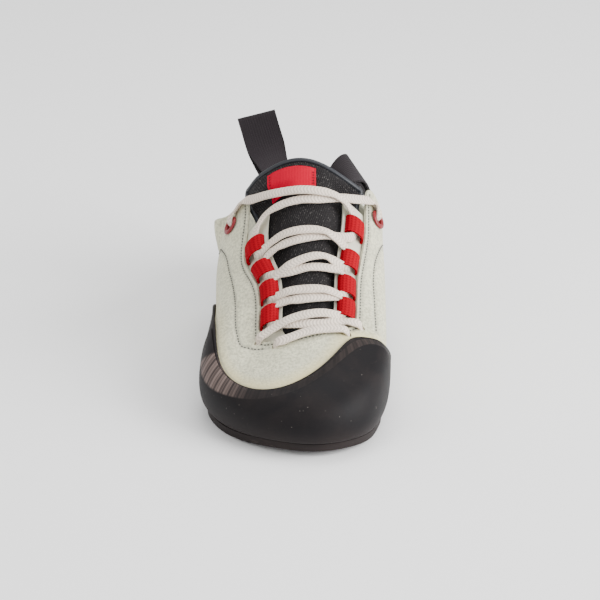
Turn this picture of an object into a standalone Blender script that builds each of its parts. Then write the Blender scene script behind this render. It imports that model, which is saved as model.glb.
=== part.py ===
"""A lace-up climbing shoe for the right foot, built as the pieces that a maker puts together.

Units are metres and +Z is up. The toe points to -Y and the big toe side is +X.
The upper's outer face is one surface, ruled by ribs that run from the feather edge at the sole to the
topline. Rubber lies outside that surface. The wall, the eyestays and the tongue lie inside it.
While the pieces are made, y is counted from the upper's toe tip, and x from the line from heel to toe tip.
The last step moves the shoe so that the origin is at the middle of its box, on the floor.
"""

import math
from collections import namedtuple

import bmesh
import bpy
import numpy as np
from mathutils import Matrix, Vector

# Driving sizes of the last, measured on the outside of the upper.
LENGTH = 0.2540
BALL_WIDTH = 0.0880
COLLAR_HEIGHT = 0.0740

# Walls, plies and clearances.
GAP = 0.0003
EYELET_GAP = 0.00045
PULL_GAP = 0.00045
LACE_GAP = 0.0009
SEAT_GAP = 0.0005
UPPER_WALL = 0.0022
RAND_WALL = 0.0016
CAP_WALL = 0.0020
CAP_EDGE = 0.0005
SOLE_WALL = 0.0045
SOLE_CHAMFER = 0.0012
INSOLE_WALL = 0.0020
EYESTAY_WALL = 0.0012
TONGUE_WALL = 0.0030

# The bottom profile: toe spring, flat forefoot, arch and flat heel.
TOE_SPRING = 0.0030
SPRING_LENGTH = 0.0400
ARCH_START = 0.1000
ARCH_PEAK = 0.1450
ARCH_END = 0.1950
ARCH_LIFT = 0.0060
ARCH_MEDIAL_LIFT = 0.0035

# The instep: a straight ridge line over an arched cross-section. The arch sharpens towards the ankle.
THROAT_START = 0.0535
THROAT_HEIGHT = 0.0440
INSTEP_ANGLE = math.radians(34.0)
RIDGE_X = 0.0010
SAG_AT_START = 2.59 / LENGTH
SAG_GROWTH = 7.1 / LENGTH**2
SAG_LEAST = 0.3 * SAG_AT_START

# A row for each rib, round the shoe from the back of the heel along the big toe side, and back.
# along and top_along are shares of LENGTH, across and top_across of BALL_WIDTH, height and top_height
# of COLLAR_HEIGHT. inset is how far the feather edge lies inside the widest line, as a share of
# BALL_WIDTH. flare leans the wall outwards above the widest line. instep is 1 where the topline lies
# on the instep. rise and crown are the lengths of the rib's two handles, as shares of its chord.
# rand is the level where the rubber rand ends: 1 is the widest line and 2 is the topline.
Rib = namedtuple(
    "Rib",
    "name along across height inset flare top_along top_across top_height instep rise crown rand",
)
RIBS = (
    Rib("heel_back", 1.000, 0.000, 0.36, 0.055, -0.10, 0.955, 0.000, 0.90, 0.0, 0.36, 0.30, 1.62),
    Rib("heel_corner_medial", 0.950, 0.235, 0.35, 0.055, -0.08, 0.918, 0.205, 0.87, 0.0, 0.36, 0.30, 1.55),
    Rib("heel_medial", 0.835, 0.345, 0.34, 0.050, 0.00, 0.810, 0.335, 0.83, 0.0, 0.36, 0.30, 1.25),
    Rib("breast_medial", 0.680, 0.350, 0.36, 0.050, 0.20, 0.635, 0.450, 0.95, 0.0, 0.36, 0.30, 1.04),
    Rib("waist_medial", 0.525, 0.385, 0.36, 0.050, 0.22, 0.589, 0.360, 1.10, 1.0, 0.42, 0.28, 1.02),
    Rib("joint_back_medial", 0.385, 0.425, 0.30, 0.050, 0.14, 0.478, 0.335, 1.00, 1.0, 0.42, 0.30, 1.04),
    Rib("ball_medial", 0.265, 0.445, 0.27, 0.048, 0.06, 0.355, 0.282, 0.80, 1.0, 0.42, 0.32, 1.15),
    Rib("big_toe_medial", 0.125, 0.385, 0.25, 0.045, 0.02, 0.262, 0.264, 0.70, 1.0, 0.40, 0.36, 1.69),
    Rib("toe_corner_medial", 0.035, 0.255, 0.21, 0.045, 0.00, 0.234, 0.165, 0.62, 1.0, 0.34, 0.38, 1.86),
    Rib("toe_tip", 0.000, 0.010, 0.20, 0.045, 0.00, 0.217, 0.000, 0.60, 1.0, 0.30, 0.38, 1.60),
    Rib("toe_corner_lateral", 0.032, -0.260, 0.20, 0.045, 0.00, 0.213, -0.150, 0.60, 1.0, 0.32, 0.36, 1.40),
    Rib("fourth_toe_lateral", 0.090, -0.450, 0.21, 0.045, 0.00, 0.226, -0.280, 0.62, 1.0, 0.34, 0.34, 1.38),
    Rib("little_toe_lateral", 0.170, -0.580, 0.22, 0.045, 0.00, 0.276, -0.305, 0.66, 1.0, 0.38, 0.32, 1.39),
    Rib("ball_lateral", 0.275, -0.625, 0.24, 0.048, 0.00, 0.362, -0.325, 0.76, 1.0, 0.42, 0.30, 1.42),
    Rib("joint_back_lateral", 0.385, -0.575, 0.27, 0.050, 0.10, 0.469, -0.405, 0.90, 1.0, 0.42, 0.30, 1.32),
    Rib("waist_lateral", 0.525, -0.535, 0.30, 0.050, 0.40, 0.600, -0.404, 1.06, 1.0, 0.42, 0.28, 1.12),
    Rib("breast_lateral", 0.680, -0.470, 0.34, 0.050, 0.46, 0.658, -0.598, 0.88, 0.0, 0.36, 0.30, 1.06),
    Rib("heel_lateral", 0.835, -0.350, 0.34, 0.050, 0.04, 0.810, -0.370, 0.82, 0.0, 0.36, 0.30, 1.25),
    Rib("heel_corner_lateral", 0.95, -0.240, 0.35, 0.055, -0.06, 0.918, -0.210, 0.87, 0.0, 0.36, 0.30, 1.55),
)
RIB_INDEX = {rib.name: number for number, rib in enumerate(RIBS)}

# How finely the surfaces are divided. Columns run round the shoe, three to each rib's bay.
BAY = 3
COLUMNS = BAY * len(RIBS)
PLATE_COLUMNS = COLUMNS + COLUMNS % 2
RAND_SHARES = (0.0, 0.18, 0.35, 0.52, 0.68, 0.84, 1.0)
CAP_SHARES = (0.0, 0.18, 0.35, 0.52, 0.68, 0.84, 0.96)
ROWS_ABOVE_RAND = 5

# The toe cap runs over the rand from the little toe side round to the ball of the big toe side.
CAP_FROM = RIB_INDEX["ball_medial"]
CAP_TO = RIB_INDEX["ball_lateral"]
CAP_END_SHARE = 0.12

# The eyestay shows inside the throat's edge and is sewn under the upper beside it.
EYESTAY_SHOWS = 0.0110
EYESTAY_SIDES = {
    1: (RIB_INDEX["waist_medial"] + 2 / BAY, RIB_INDEX["toe_corner_medial"] - 1 / BAY),
    -1: (RIB_INDEX["toe_corner_lateral"] + 2 / BAY, RIB_INDEX["waist_lateral"] - 2 / BAY),
}
SIDE_NAME = {1: "medial", -1: "lateral"}

# The webbing loops that the lace runs through. The stations are shares of LENGTH, from the toe up.
LOOP_TAPE = 0.0008
LOOP_LENGTH = 0.0115
LOOP_SPAN = 0.0094
LOOP_HEIGHT = 0.0046
LOOP_STATIONS = {1: (0.278, 0.327, 0.386, 0.467), -1: (0.272, 0.327, 0.384, 0.450)}
LOOP_STEPS = 8

# The lace. It passes over the leather at the throat's corners and at the two ring eyelets, and ends
# beside each webbing loop, at LACE_END_SHARE of the loop's length from its middle.
# LACE_LOW and LACE_PEAK are the lifts of its middle line beside the loops and over the tongue.
# LACE_ARCH shapes the rise between them: 1 is half a sine wave, and less is flatter on top.
LACE_WIDTH = 0.0050
LACE_THICKNESS = 0.0016
LACE_EDGE = 0.72
LACE_PLY = 0.9 * LACE_THICKNESS
LACE_LOW = -0.0005
LACE_OVER_LEATHER = 0.0005
LACE_PEAK = 0.0008
LACE_ARCH = 0.7
LACE_END_SHARE = 0.40
LACE_STEPS = 13
LABEL_LIFT = 0.0016
BAR_FROM = RIB_INDEX["toe_corner_lateral"] + 0.35
BAR_TO = RIB_INDEX["toe_corner_medial"] + 0.10
BAR_LEVELS = (1.88, 1.945)
BAR_STEPS = 7
CORNER_LEVELS = (1.93, 2.0)
FLAP_LEVELS = (1.86, 1.93, 2.0)

# The ring eyelets in the top corners of the flaps.
EYELET_RADIUS = 0.0054
EYELET_BORE = 0.0027
EYELET_TUBE = 0.0006
EYELET_FLANGE = 0.0010
EYELET_COUNT = 18
EYELET_TURN = {1: RIB_INDEX["waist_medial"] + 0.46, -1: RIB_INDEX["waist_lateral"] - 0.13}
EYELET_LEVEL = {1: 1.80, -1: 1.73}

# The tongue. TONGUE_CROWN is its lift from the instep surface along its ridge. Its flat share is that of
# its half width inside the eyestays. Past the eyestays it spreads, by its flare, beyond the throat's edges.
# At its top it leans to the lateral side, where it is also longer, and its corners rise as ears. Its grid
# is closer where it bends most.
TONGUE_ROOT = 0.0470
TONGUE_TOP = 0.1485
TONGUE_ROOT_HALF = 0.0190
TONGUE_TOP_HALF = 0.0343
TONGUE_ROOT_RISE = 0.0260
TONGUE_EARS = 0.0072
TONGUE_FLARE = 0.0090
TONGUE_LEAN = -0.0057
TONGUE_SLANT = -0.0094
TONGUE_CROWN = -0.0008
TONGUE_SLACK = 0.0013
TONGUE_FLAT_SHARE = 0.35
TONGUE_FLAT_AT_TOP = 0.62
TONGUE_SPREADS_FROM = 0.1350
TONGUE_SPREADS_TO = 0.1460
BINDING_WIDTH = 0.0030
BINDING_LIFT = 0.0006
BINDING_FROM = 1.0 - BINDING_WIDTH / (TONGUE_TOP - TONGUE_ROOT)
TONGUE_SHARES_UP = (0.0, 0.1, 0.2, 0.32, 0.44, 0.56, 0.68, 0.8, 0.9, BINDING_FROM, 1.0)
TONGUE_SHARES_ACROSS = (-1.0, -0.85, -0.68, -0.5, -0.3, -0.1, 0.1, 0.3, 0.5, 0.68, 0.85, 1.0)

# The label on the tongue, counted from the tongue's ridge and its top. It slants as the tongue's top does.
LABEL_WIDTH = 0.0255
LABEL_LENGTH = 0.0165
LABEL_WALL = 0.0005
LABEL_GAP = 0.0013
LABEL_OFF_RIDGE = -0.0108
LABEL_BELOW_TOP = 0.0033

# The two webbing pull loops over the back of the collar, each between two columns of the upper. Their rows
# inside and outside the upper stand at the upper's own rows. PULL_WAY has the middle of the tape above the
# collar and at the far fold, counted from the collar as shares of PULL_REACH, and the direction across it.
# The medial loop is bent over outwards.
PULL_WIDTH = 0.0220
PULL_REACH = 0.0350
PULL_TAPE = 0.0011
PULL_FOLD = 0.0014
PULL_ROWS = 7
PULL_WALL_ROWS = 3
PULL_RIB = {1: RIB_INDEX["heel_corner_medial"], -1: RIB_INDEX["heel_corner_lateral"]}
PULL_TURNS = {1: (-0.42, -1 / BAY, 0.0, 1 / BAY, 0.46), -1: (-0.46, -1 / BAY, 0.0, 1 / BAY, 0.42)}
PullStep = namedtuple("PullStep", "x y z way")
PULL_WAY = {
    1: (
        PullStep(0.07, 0.09, 0.13, (0.45, -0.80, -0.30)),
        PullStep(0.24, 0.31, 0.10, (0.50, -0.66, -0.55)),
        PullStep(0.34, 0.54, -0.25, (0.50, -0.70, -0.40)),
    ),
    -1: (
        PullStep(-0.21, 0.28, 0.50, (0.93, 0.25, 0.24)),
        PullStep(-0.36, 0.39, 0.99, (0.97, 0.05, 0.24)),
    ),
}


def smooth(low, high, value):
    """0 below low and 1 above high, with a soft step between."""
    share = np.clip((value - low) / (high - low), 0.0, 1.0)
    return share * share * (3.0 - 2.0 * share)


def unit(vector):
    return vector / np.maximum(np.linalg.norm(vector, axis=-1, keepdims=True), 1e-12)


def closed_spline(values, turns):
    """A smooth closed curve through values, read at turns, where a whole number is a value's own place."""
    values = np.asarray(values, float)
    count = len(values)
    second = np.roll(values, -1) - 2.0 * values + np.roll(values, 1)
    matrix = np.eye(count) * 4.0 + np.roll(np.eye(count), 1, 1) + np.roll(np.eye(count), -1, 1)
    bend = np.linalg.solve(matrix, 6.0 * second)
    turns = np.mod(np.asarray(turns, float), count)
    low = np.floor(turns).astype(int) % count
    high = (low + 1) % count
    part = turns - np.floor(turns)
    rest = 1.0 - part
    straight = rest * values[low] + part * values[high]
    curved = ((rest**3 - rest) * bend[low] + (part**3 - part) * bend[high]) / 6.0
    return straight + curved


def column(name, turns):
    """One column of the rib table at any place round the shoe."""
    return closed_spline([getattr(rib, name) for rib in RIBS], turns)


def seat(x, y):
    """Height of the outsole's upper face."""
    spring = TOE_SPRING * (1.0 - smooth(0.0, SPRING_LENGTH, y)) ** 2
    arch = smooth(ARCH_START, ARCH_PEAK, y) * (1.0 - smooth(ARCH_PEAK, ARCH_END, y))
    medial = smooth(0.0, 0.5 * BALL_WIDTH, x)
    return SOLE_WALL + spring + arch * (ARCH_LIFT + ARCH_MEDIAL_LIFT * medial)


def sag(y):
    """How sharply the instep falls away to each side of its ridge, in metres per square metre."""
    return np.maximum(SAG_AT_START + SAG_GROWTH * (y - THROAT_START), SAG_LEAST)


def instep(x, y):
    """Height of the instep surface, on which the throat's edges lie."""
    ridge = THROAT_HEIGHT + math.tan(INSTEP_ANGLE) * (y - THROAT_START)
    return ridge - sag(y) * (x - RIDGE_X) ** 2


def instep_normal(x, y):
    step = 0.0005
    slope_x = (instep(x + step, y) - instep(x - step, y)) / (2 * step)
    slope_y = (instep(x, y + step) - instep(x, y - step)) / (2 * step)
    return unit(np.stack([-slope_x, -slope_y, np.ones_like(slope_x)], -1))


def instep_point(x, y, lift):
    """A point at lift above the instep surface, along its normal."""
    x, y = np.broadcast_arrays(np.asarray(x, float), np.asarray(y, float))
    return np.stack([x, y, instep(x, y)], -1) + lift * instep_normal(x, y)


def widest_line(turns):
    return np.stack(
        [
            column("across", turns) * BALL_WIDTH,
            column("along", turns) * LENGTH,
            column("height", turns) * COLLAR_HEIGHT,
        ],
        -1,
    )


def plan_normal(turns):
    """The outward direction in plan, at the widest line."""
    step = 0.05
    along = widest_line(turns + step) - widest_line(turns - step)
    return unit(np.stack([-along[..., 1], along[..., 0], np.zeros_like(along[..., 0])], -1))


def topline(turns):
    """The upper edge: the throat, the flaps and the collar."""
    x = column("top_across", turns) * BALL_WIDTH
    y = column("top_along", turns) * LENGTH
    on_instep = smooth(0.0, 1.0, column("instep", turns))
    z = on_instep * instep(x, y) + (1.0 - on_instep) * column("top_height", turns) * COLLAR_HEIGHT
    return np.stack([x, y, z], -1)


def surface(turns, levels):
    """The upper's outer face. Level 0 is the feather edge, 1 the widest line and 2 the topline."""
    turns, levels = np.broadcast_arrays(np.asarray(turns, float), np.asarray(levels, float))
    widest = widest_line(turns)
    outward = plan_normal(turns)
    top = topline(turns)
    lift = unit(column("flare", turns)[..., None] * outward + np.array([0.0, 0.0, 1.0]))

    feather = widest - outward * (column("inset", turns) * BALL_WIDTH)[..., None]
    feather[..., 2] = seat(feather[..., 0], feather[..., 1]) + SEAT_GAP
    drop = (widest[..., 2] - feather[..., 2])[..., None]
    corner = widest - lift * drop * 0.6

    chord = np.linalg.norm(top - widest, axis=-1)[..., None]
    step = 0.0005
    here = instep(top[..., 0], top[..., 1])
    there = instep(top[..., 0] - step * outward[..., 0], top[..., 1] - step * outward[..., 1])
    over_instep = unit(np.array([0.0, 0.0, 1.0]) * ((there - here) / step)[..., None] - outward)
    upright = unit(np.array([0.0, 0.0, 1.0]) - outward * 0.10)
    on_instep = smooth(0.0, 1.0, column("instep", turns))[..., None]
    arrive = unit(on_instep * over_instep + (1.0 - on_instep) * upright)
    first = widest + lift * chord * column("rise", turns)[..., None]
    second = top - arrive * chord * column("crown", turns)[..., None]

    low = np.clip(levels, 0.0, 1.0)[..., None]
    high = np.clip(levels - 1.0, 0.0, 1.0)[..., None]
    lower = (1 - low) ** 2 * feather + 2 * (1 - low) * low * corner + low**2 * widest
    upper = (
        (1 - high) ** 3 * widest
        + 3 * (1 - high) ** 2 * high * first
        + 3 * (1 - high) * high**2 * second
        + high**3 * top
    )
    return np.where(levels[..., None] <= 1.0, lower, upper)


def surface_normal(turns, levels):
    """Outward normal of the upper, turned level at the feather edge so that layers stand side by side."""
    turns, levels = np.broadcast_arrays(np.asarray(turns, float), np.asarray(levels, float))
    step = 0.02
    round_it = surface(turns + step, levels) - surface(turns - step, levels)
    up_it = surface(turns, np.minimum(levels + step, 2.0)) - surface(turns, np.maximum(levels - step, 0.0))
    normal = unit(np.cross(up_it, round_it))
    normal[..., 2] *= smooth(0.0, 0.8, levels)
    return unit(normal)


def layer(turns, levels, depth):
    """A point at depth outside the upper's outer face; inside it where depth is negative."""
    turns, levels, depth = np.broadcast_arrays(
        np.asarray(turns, float), np.asarray(levels, float), np.asarray(depth, float)
    )
    point = surface(turns, levels) + surface_normal(turns, levels) * depth[..., None]
    on_sole = levels <= 0.0
    point[..., 2] = np.where(on_sole, seat(point[..., 0], point[..., 1]) + SEAT_GAP, point[..., 2])
    return point


def new_object(name, vertices, faces, made_of):
    """A named object of one material, with its faces turned outwards."""
    mesh = bpy.data.meshes.new(name)
    mesh.from_pydata([tuple(point) for point in vertices], [], faces)
    work = bmesh.new()
    work.from_mesh(mesh)
    bmesh.ops.recalc_face_normals(work, faces=work.faces)
    work.to_mesh(mesh)
    work.free()
    mesh.materials.append(made_of)
    mesh.shade_smooth()
    mesh.set_sharp_from_angle(angle=math.radians(50))
    made = bpy.data.objects.new(name, mesh)
    bpy.context.collection.objects.link(made)
    return made


def material(name, colour, roughness, metallic=0.0):
    made = bpy.data.materials.new(name)
    made.use_nodes = True
    shader = made.node_tree.nodes["Principled BSDF"]
    shader.inputs["Base Color"].default_value = (*colour, 1.0)
    shader.inputs["Roughness"].default_value = roughness
    shader.inputs["Metallic"].default_value = metallic
    return made


def slab(outer, inner, wrap=False):
    """Vertices and faces of the closed solid between two grids of rows and columns.
    With wrap the columns close into a ring."""
    rows, columns = outer.shape[:2]
    vertices = np.concatenate([outer.reshape(-1, 3), inner.reshape(-1, 3)])
    far = rows * columns
    last = columns if wrap else columns - 1
    faces = []
    for row in range(rows - 1):
        for number in range(last):
            beside = (number + 1) % columns
            a, b = row * columns + number, row * columns + beside
            c, d = a + columns, b + columns
            faces.append((a, b, d, c))
            faces.append((far + a, far + c, far + d, far + b))
    for row in (0, rows - 1):
        for number in range(last):
            a, b = row * columns + number, row * columns + (number + 1) % columns
            faces.append((a, far + a, far + b, b) if row == 0 else (a, b, far + b, far + a))
    if not wrap:
        for number in (0, columns - 1):
            for row in range(rows - 1):
                a = row * columns + number
                c = a + columns
                faces.append((a, c, far + c, far + a) if number == 0 else (a, far + a, far + c, c))
    return vertices, faces


def lens(ring, height, across=6):
    """Rows of points over a closed outline, each from its medial half to its lateral half. The ring
    starts at the heel and is at the toe half way round."""
    half = len(ring) // 2
    rows = []
    for number in range(1, half):
        medial, lateral = ring[number], ring[-number]
        shares = np.linspace(0.0, 1.0, across + 1)[:, None]
        rows.append(medial * (1 - shares) + lateral * shares)
    points = np.array(rows)
    points[..., 2] = height(points[..., 0], points[..., 1])
    return points


def plate(name, rings, top_height, bottom_height, made_of):
    """A closed solid whose side runs through the rings from the top outline to the bottom one. The two
    faces are grids that follow their height functions."""
    count = len(rings[0])
    half = count // 2
    vertices = [point for ring in rings for point in ring]
    faces = []
    for level in range(len(rings) - 1):
        for number in range(count):
            a = level * count + number
            b = level * count + (number + 1) % count
            faces.append((a, b, b + count, a + count))
    for ring_number, height in ((0, top_height), (len(rings) - 1, bottom_height)):
        base = ring_number * count
        grid = lens(rings[ring_number], height)
        across = grid.shape[1] - 1
        places = []
        for row, points in enumerate(grid):
            number = row + 1
            inner = list(range(len(vertices), len(vertices) + across - 1))
            vertices.extend(points[1:-1])
            places.append([base + number, *inner, base + count - number])
        for near, far in zip(places, places[1:]):
            for step in range(across):
                faces.append((near[step], near[step + 1], far[step + 1], far[step]))
        for step in range(across):
            faces.append((base, places[0][step], places[0][step + 1]))
            faces.append((base + half, places[-1][step + 1], places[-1][step]))
    return new_object(name, vertices, faces, made_of)


def cap_share(turns):
    """1 under the body of the toe cap, falling to 0 at its two ends."""
    taper = CAP_END_SHARE * (CAP_TO - CAP_FROM)
    turns = np.mod(turns, len(RIBS))
    return smooth(CAP_FROM, CAP_FROM + taper, turns) * (1.0 - smooth(CAP_TO - taper, CAP_TO, turns))


def round_the_shoe(columns=COLUMNS):
    return np.arange(columns) * len(RIBS) / columns


def rand_levels(turns, shares=RAND_SHARES):
    """Levels of the rows under the rand's upper edge."""
    return np.array(shares)[:, None] * column("rand", turns)[None, :]


def wall_levels(turns):
    """Levels of the upper's rows. Those up to the rand's edge are the rand's own, so that the two nest."""
    low = rand_levels(turns)
    shares = np.linspace(0.0, 1.0, ROWS_ABOVE_RAND + 1)[1:, None]
    return np.concatenate([low, low[-1:] + (2.0 - low[-1:]) * shares])


def build_outsole(rubber):
    turns = round_the_shoe(PLATE_COLUMNS)
    rubber_depth = GAP + RAND_WALL + cap_share(turns) * (GAP + CAP_WALL)
    rings = []
    for depth, share in ((0.0, 0.0), (0.0, 1.0), (-SOLE_CHAMFER, 1.0)):
        ring = layer(turns, 0.0, rubber_depth + depth)
        drop = SOLE_WALL if depth else share * (SOLE_WALL - SOLE_CHAMFER)
        ring[:, 2] = seat(ring[:, 0], ring[:, 1]) - drop
        rings.append(ring)
    return plate("outsole", rings, seat, lambda x, y: seat(x, y) - SOLE_WALL, rubber)


def build_insole(board):
    turns = round_the_shoe(PLATE_COLUMNS)
    rings = []
    for lift in (GAP + INSOLE_WALL, GAP):
        ring = layer(turns, 0.0, -UPPER_WALL - 2 * GAP)
        ring[:, 2] = seat(ring[:, 0], ring[:, 1]) + lift
        rings.append(ring)
    return plate(
        "insole",
        rings,
        lambda x, y: seat(x, y) + GAP + INSOLE_WALL,
        lambda x, y: seat(x, y) + GAP,
        board,
    )


def build_upper(leather):
    turns = round_the_shoe()
    levels = wall_levels(turns)
    outer = layer(turns[None, :], levels, 0.0)
    inner = layer(turns[None, :], levels, -UPPER_WALL)
    return new_object("upper", *slab(outer, inner, wrap=True), leather)


def build_rand(rubber):
    turns = round_the_shoe()
    levels = rand_levels(turns)
    inner = layer(turns[None, :], levels, GAP)
    outer = layer(turns[None, :], levels, GAP + RAND_WALL)
    return new_object("rand", *slab(outer, inner, wrap=True), rubber)


def build_toe_cap(rubber):
    turns = np.arange(CAP_FROM * BAY, CAP_TO * BAY + 1) / BAY
    levels = rand_levels(turns, CAP_SHARES)
    base = 2 * GAP + RAND_WALL
    full = np.tile(cap_share(turns), (len(CAP_SHARES), 1))
    full[-1] = 0.0
    inner = layer(turns[None, :], levels, base)
    outer = layer(turns[None, :], levels, base + CAP_EDGE + full * (CAP_WALL - CAP_EDGE))
    return new_object("toe_cap", *slab(outer, inner), rubber)


def throat_x(side, y):
    """Where the throat's edge is at y, on the medial side where side is 1 and the lateral where it is -1."""
    tip = RIB_INDEX["toe_tip"]
    last = RIB_INDEX["waist_medial"] if side > 0 else RIB_INDEX["waist_lateral"]
    edge = topline(np.linspace(tip, last, 121))
    return np.interp(y, np.maximum.accumulate(edge[:, 1]), edge[:, 0])


def eyestay_grid(side, depth):
    first, last = EYESTAY_SIDES[side]
    turns = np.arange(round(first * BAY), round(last * BAY) + 1) / BAY
    rows = [layer(turns, level, depth) for level in wall_levels(turns)[-2:]]
    edge = topline(turns)
    for share in (0.5, 1.0):
        rows.append(instep_point(edge[:, 0] - side * share * EYESTAY_SHOWS, edge[:, 1], depth))
    return np.array(rows)


def build_eyestay(side, facing):
    depth = -UPPER_WALL - GAP
    outer = eyestay_grid(side, depth)
    inner = eyestay_grid(side, depth - EYESTAY_WALL)
    return new_object(f"eyestay_{SIDE_NAME[side]}", *slab(outer, inner), facing)


def loop_grid(side, station, shrink):
    """The arch of a webbing loop, from the throat's edge inwards. shrink makes its inner face."""
    half = 0.5 * LOOP_LENGTH * math.cos(INSTEP_ANGLE)
    span = 0.5 * LOOP_SPAN
    angles = np.linspace(0.0, math.pi, LOOP_STEPS)
    rows = []
    for y in np.linspace(station - half, station + half, 3):
        across = span - (span - shrink) * np.cos(angles)
        lift = (LOOP_HEIGHT - shrink) * np.sin(angles) - UPPER_WALL
        x = throat_x(side, y) - side * (GAP + across)
        rows.append(instep_point(x, y, lift[:, None]))
    return np.array(rows)


def build_lace_loop(side, number, tape):
    station = LOOP_STATIONS[side][number] * LENGTH
    name = f"lace_loop_{SIDE_NAME[side]}_{number + 1}"
    return new_object(name, *slab(loop_grid(side, station, 0.0), loop_grid(side, station, LOOP_TAPE)), tape)


def tongue_lift(x, y):
    """The tongue's upper face, counted from the instep surface."""
    low = -(UPPER_WALL + EYESTAY_WALL + 2 * GAP + TONGUE_SLACK)
    side = np.where(x > RIDGE_X, 1.0, -1.0)
    edge = np.where(side > 0, throat_x(1, y), throat_x(-1, y))
    spread = smooth(TONGUE_SPREADS_FROM, TONGUE_SPREADS_TO, y)
    reach = np.abs(edge - RIDGE_X) + TONGUE_FLARE * spread - EYESTAY_SHOWS * (1.0 - spread)
    flat = TONGUE_FLAT_SHARE + (TONGUE_FLAT_AT_TOP - TONGUE_FLAT_SHARE) * spread
    share = np.abs(x - RIDGE_X) / reach
    share = smooth(0.0, 1.0, (share - flat) / (1.0 - flat))
    risen = smooth(THROAT_START, THROAT_START + TONGUE_ROOT_RISE, y)
    return low + (TONGUE_CROWN - low) * (1.0 - share) * risen


def tongue_plan():
    """Plan places of the tongue's grid, up its length and across it."""
    up, across = np.meshgrid(TONGUE_SHARES_UP, TONGUE_SHARES_ACROSS, indexing="ij")
    top = TONGUE_TOP + TONGUE_SLANT * across + TONGUE_EARS * np.abs(across) ** 4
    y = TONGUE_ROOT + up * (top - TONGUE_ROOT)
    half = TONGUE_ROOT_HALF + up * (TONGUE_TOP_HALF - TONGUE_ROOT_HALF)
    x = RIDGE_X + TONGUE_LEAN * up**2 + across * half
    return x, y


def build_tongue(textile):
    x, y = tongue_plan()
    lift = tongue_lift(x, y)
    lift[-2:] += BINDING_LIFT
    outer = instep_point(x, y, lift[..., None])
    inner = instep_point(x, y, (tongue_lift(x, y) - TONGUE_WALL)[..., None])
    return new_object("tongue", *slab(outer, inner), textile)


def build_label(cloth):
    middle = RIDGE_X + LABEL_OFF_RIDGE
    x = np.linspace(middle - LABEL_WIDTH / 2, middle + LABEL_WIDTH / 2, 7)
    top = TONGUE_TOP - LABEL_BELOW_TOP
    y = np.linspace(top - LABEL_LENGTH * math.cos(INSTEP_ANGLE), top, 5)
    x, y = np.meshgrid(x, y)
    y = y + (x - middle) * TONGUE_SLANT / TONGUE_TOP_HALF
    lift = tongue_lift(x, y) + LABEL_GAP
    inner = instep_point(x, y, lift[..., None])
    outer = instep_point(x, y, (lift + LABEL_WALL)[..., None])
    return new_object("tongue_label", *slab(outer, inner), cloth)


def blend(points, steps):
    """A smooth path through the points, at even places from the first to the last."""
    points = np.array(points)
    padded = np.concatenate([2 * points[:1] - points[1:2], points, 2 * points[-1:] - points[-2:-1]])
    path = []
    for value in np.linspace(0.0, len(points) - 1.0, steps):
        place = min(int(value), len(points) - 2)
        part = value - place
        a, b, c, d = padded[place : place + 4]
        bend = (2 * a - 5 * b + 4 * c - d) * part**2 + (3 * b - a - 3 * c + d) * part**3
        path.append(0.5 * (2 * b + (c - a) * part + bend))
    return np.array(path)


def strap(name, controls, made_of):
    """A flat lace along a path, with bevelled edges: its faces are LACE_EDGE of its width."""
    path = blend([point for point, _ in controls], LACE_STEPS)
    facing = unit(blend([normal for _, normal in controls], LACE_STEPS))
    along = unit(np.gradient(path, axis=0))
    across = unit(np.cross(along, facing))
    facing = np.cross(across, along)
    wide = across * LACE_WIDTH / 2
    thick = facing * LACE_THICKNESS / 2
    corners = np.stack(
        [
            path + wide,
            path + wide * LACE_EDGE + thick,
            path - wide * LACE_EDGE + thick,
            path - wide,
            path - wide * LACE_EDGE - thick,
            path + wide * LACE_EDGE - thick,
        ],
        1,
    )
    count = corners.shape[1]
    vertices = corners.reshape(-1, 3)
    faces = [tuple(range(count)), tuple(range(len(vertices) - count, len(vertices)))]
    for step in range(len(path) - 1):
        for number in range(count):
            a = step * count + number
            b = step * count + (number + 1) % count
            faces.append((a, b, b + count, a + count))
    return new_object(name, vertices, faces, made_of)


def beside_loop(side, number, towards):
    """The plan place beside a webbing loop, at its heel end where towards is 1, its toe end where -1."""
    station = LOOP_STATIONS[side][number] * LENGTH
    y = station + towards * LACE_END_SHARE * LOOP_LENGTH
    x = throat_x(side, y) - side * (LACE_GAP + LOOP_SPAN)
    return x, y


def lace_path(start, finish, peak, lead=()):
    """Controls across the tongue between two plan places. lead has controls that come before start."""
    controls = list(lead)
    for share in (0.0, 0.25, 0.5, 0.75, 1.0):
        if share == 0.0 and lead:
            continue
        x = start[0] + share * (finish[0] - start[0])
        y = start[1] + share * (finish[1] - start[1])
        rise = math.sin(math.pi * share) ** LACE_ARCH
        lift = LACE_LOW + (peak - LACE_LOW) * rise
        controls.append((instep_point(x, y, lift), instep_normal(np.float64(x), np.float64(y))))
    return controls


def over_leather(turn, levels):
    """Controls on top of the upper, and the plan place of the last one."""
    lift = LACE_OVER_LEATHER + LACE_THICKNESS / 2
    turn = np.float64(turn)
    controls = [(layer(turn, level, lift), surface_normal(turn, np.float64(level))) for level in levels]
    return controls, controls[-1][0][:2]


def join_crossing(number, over, under, made_of):
    """One solid of two straps that cross."""
    whole = strap(f"lace_cross_{number}", over, made_of)
    cutter = strap(f"lace_cross_{number}_under", under, made_of)
    joined = whole.modifiers.new("join", "BOOLEAN")
    joined.operation = "UNION"
    joined.solver = "EXACT"
    joined.object = cutter
    cutter.hide_render = True
    cutter.display_type = "WIRE"
    return whole


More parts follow.
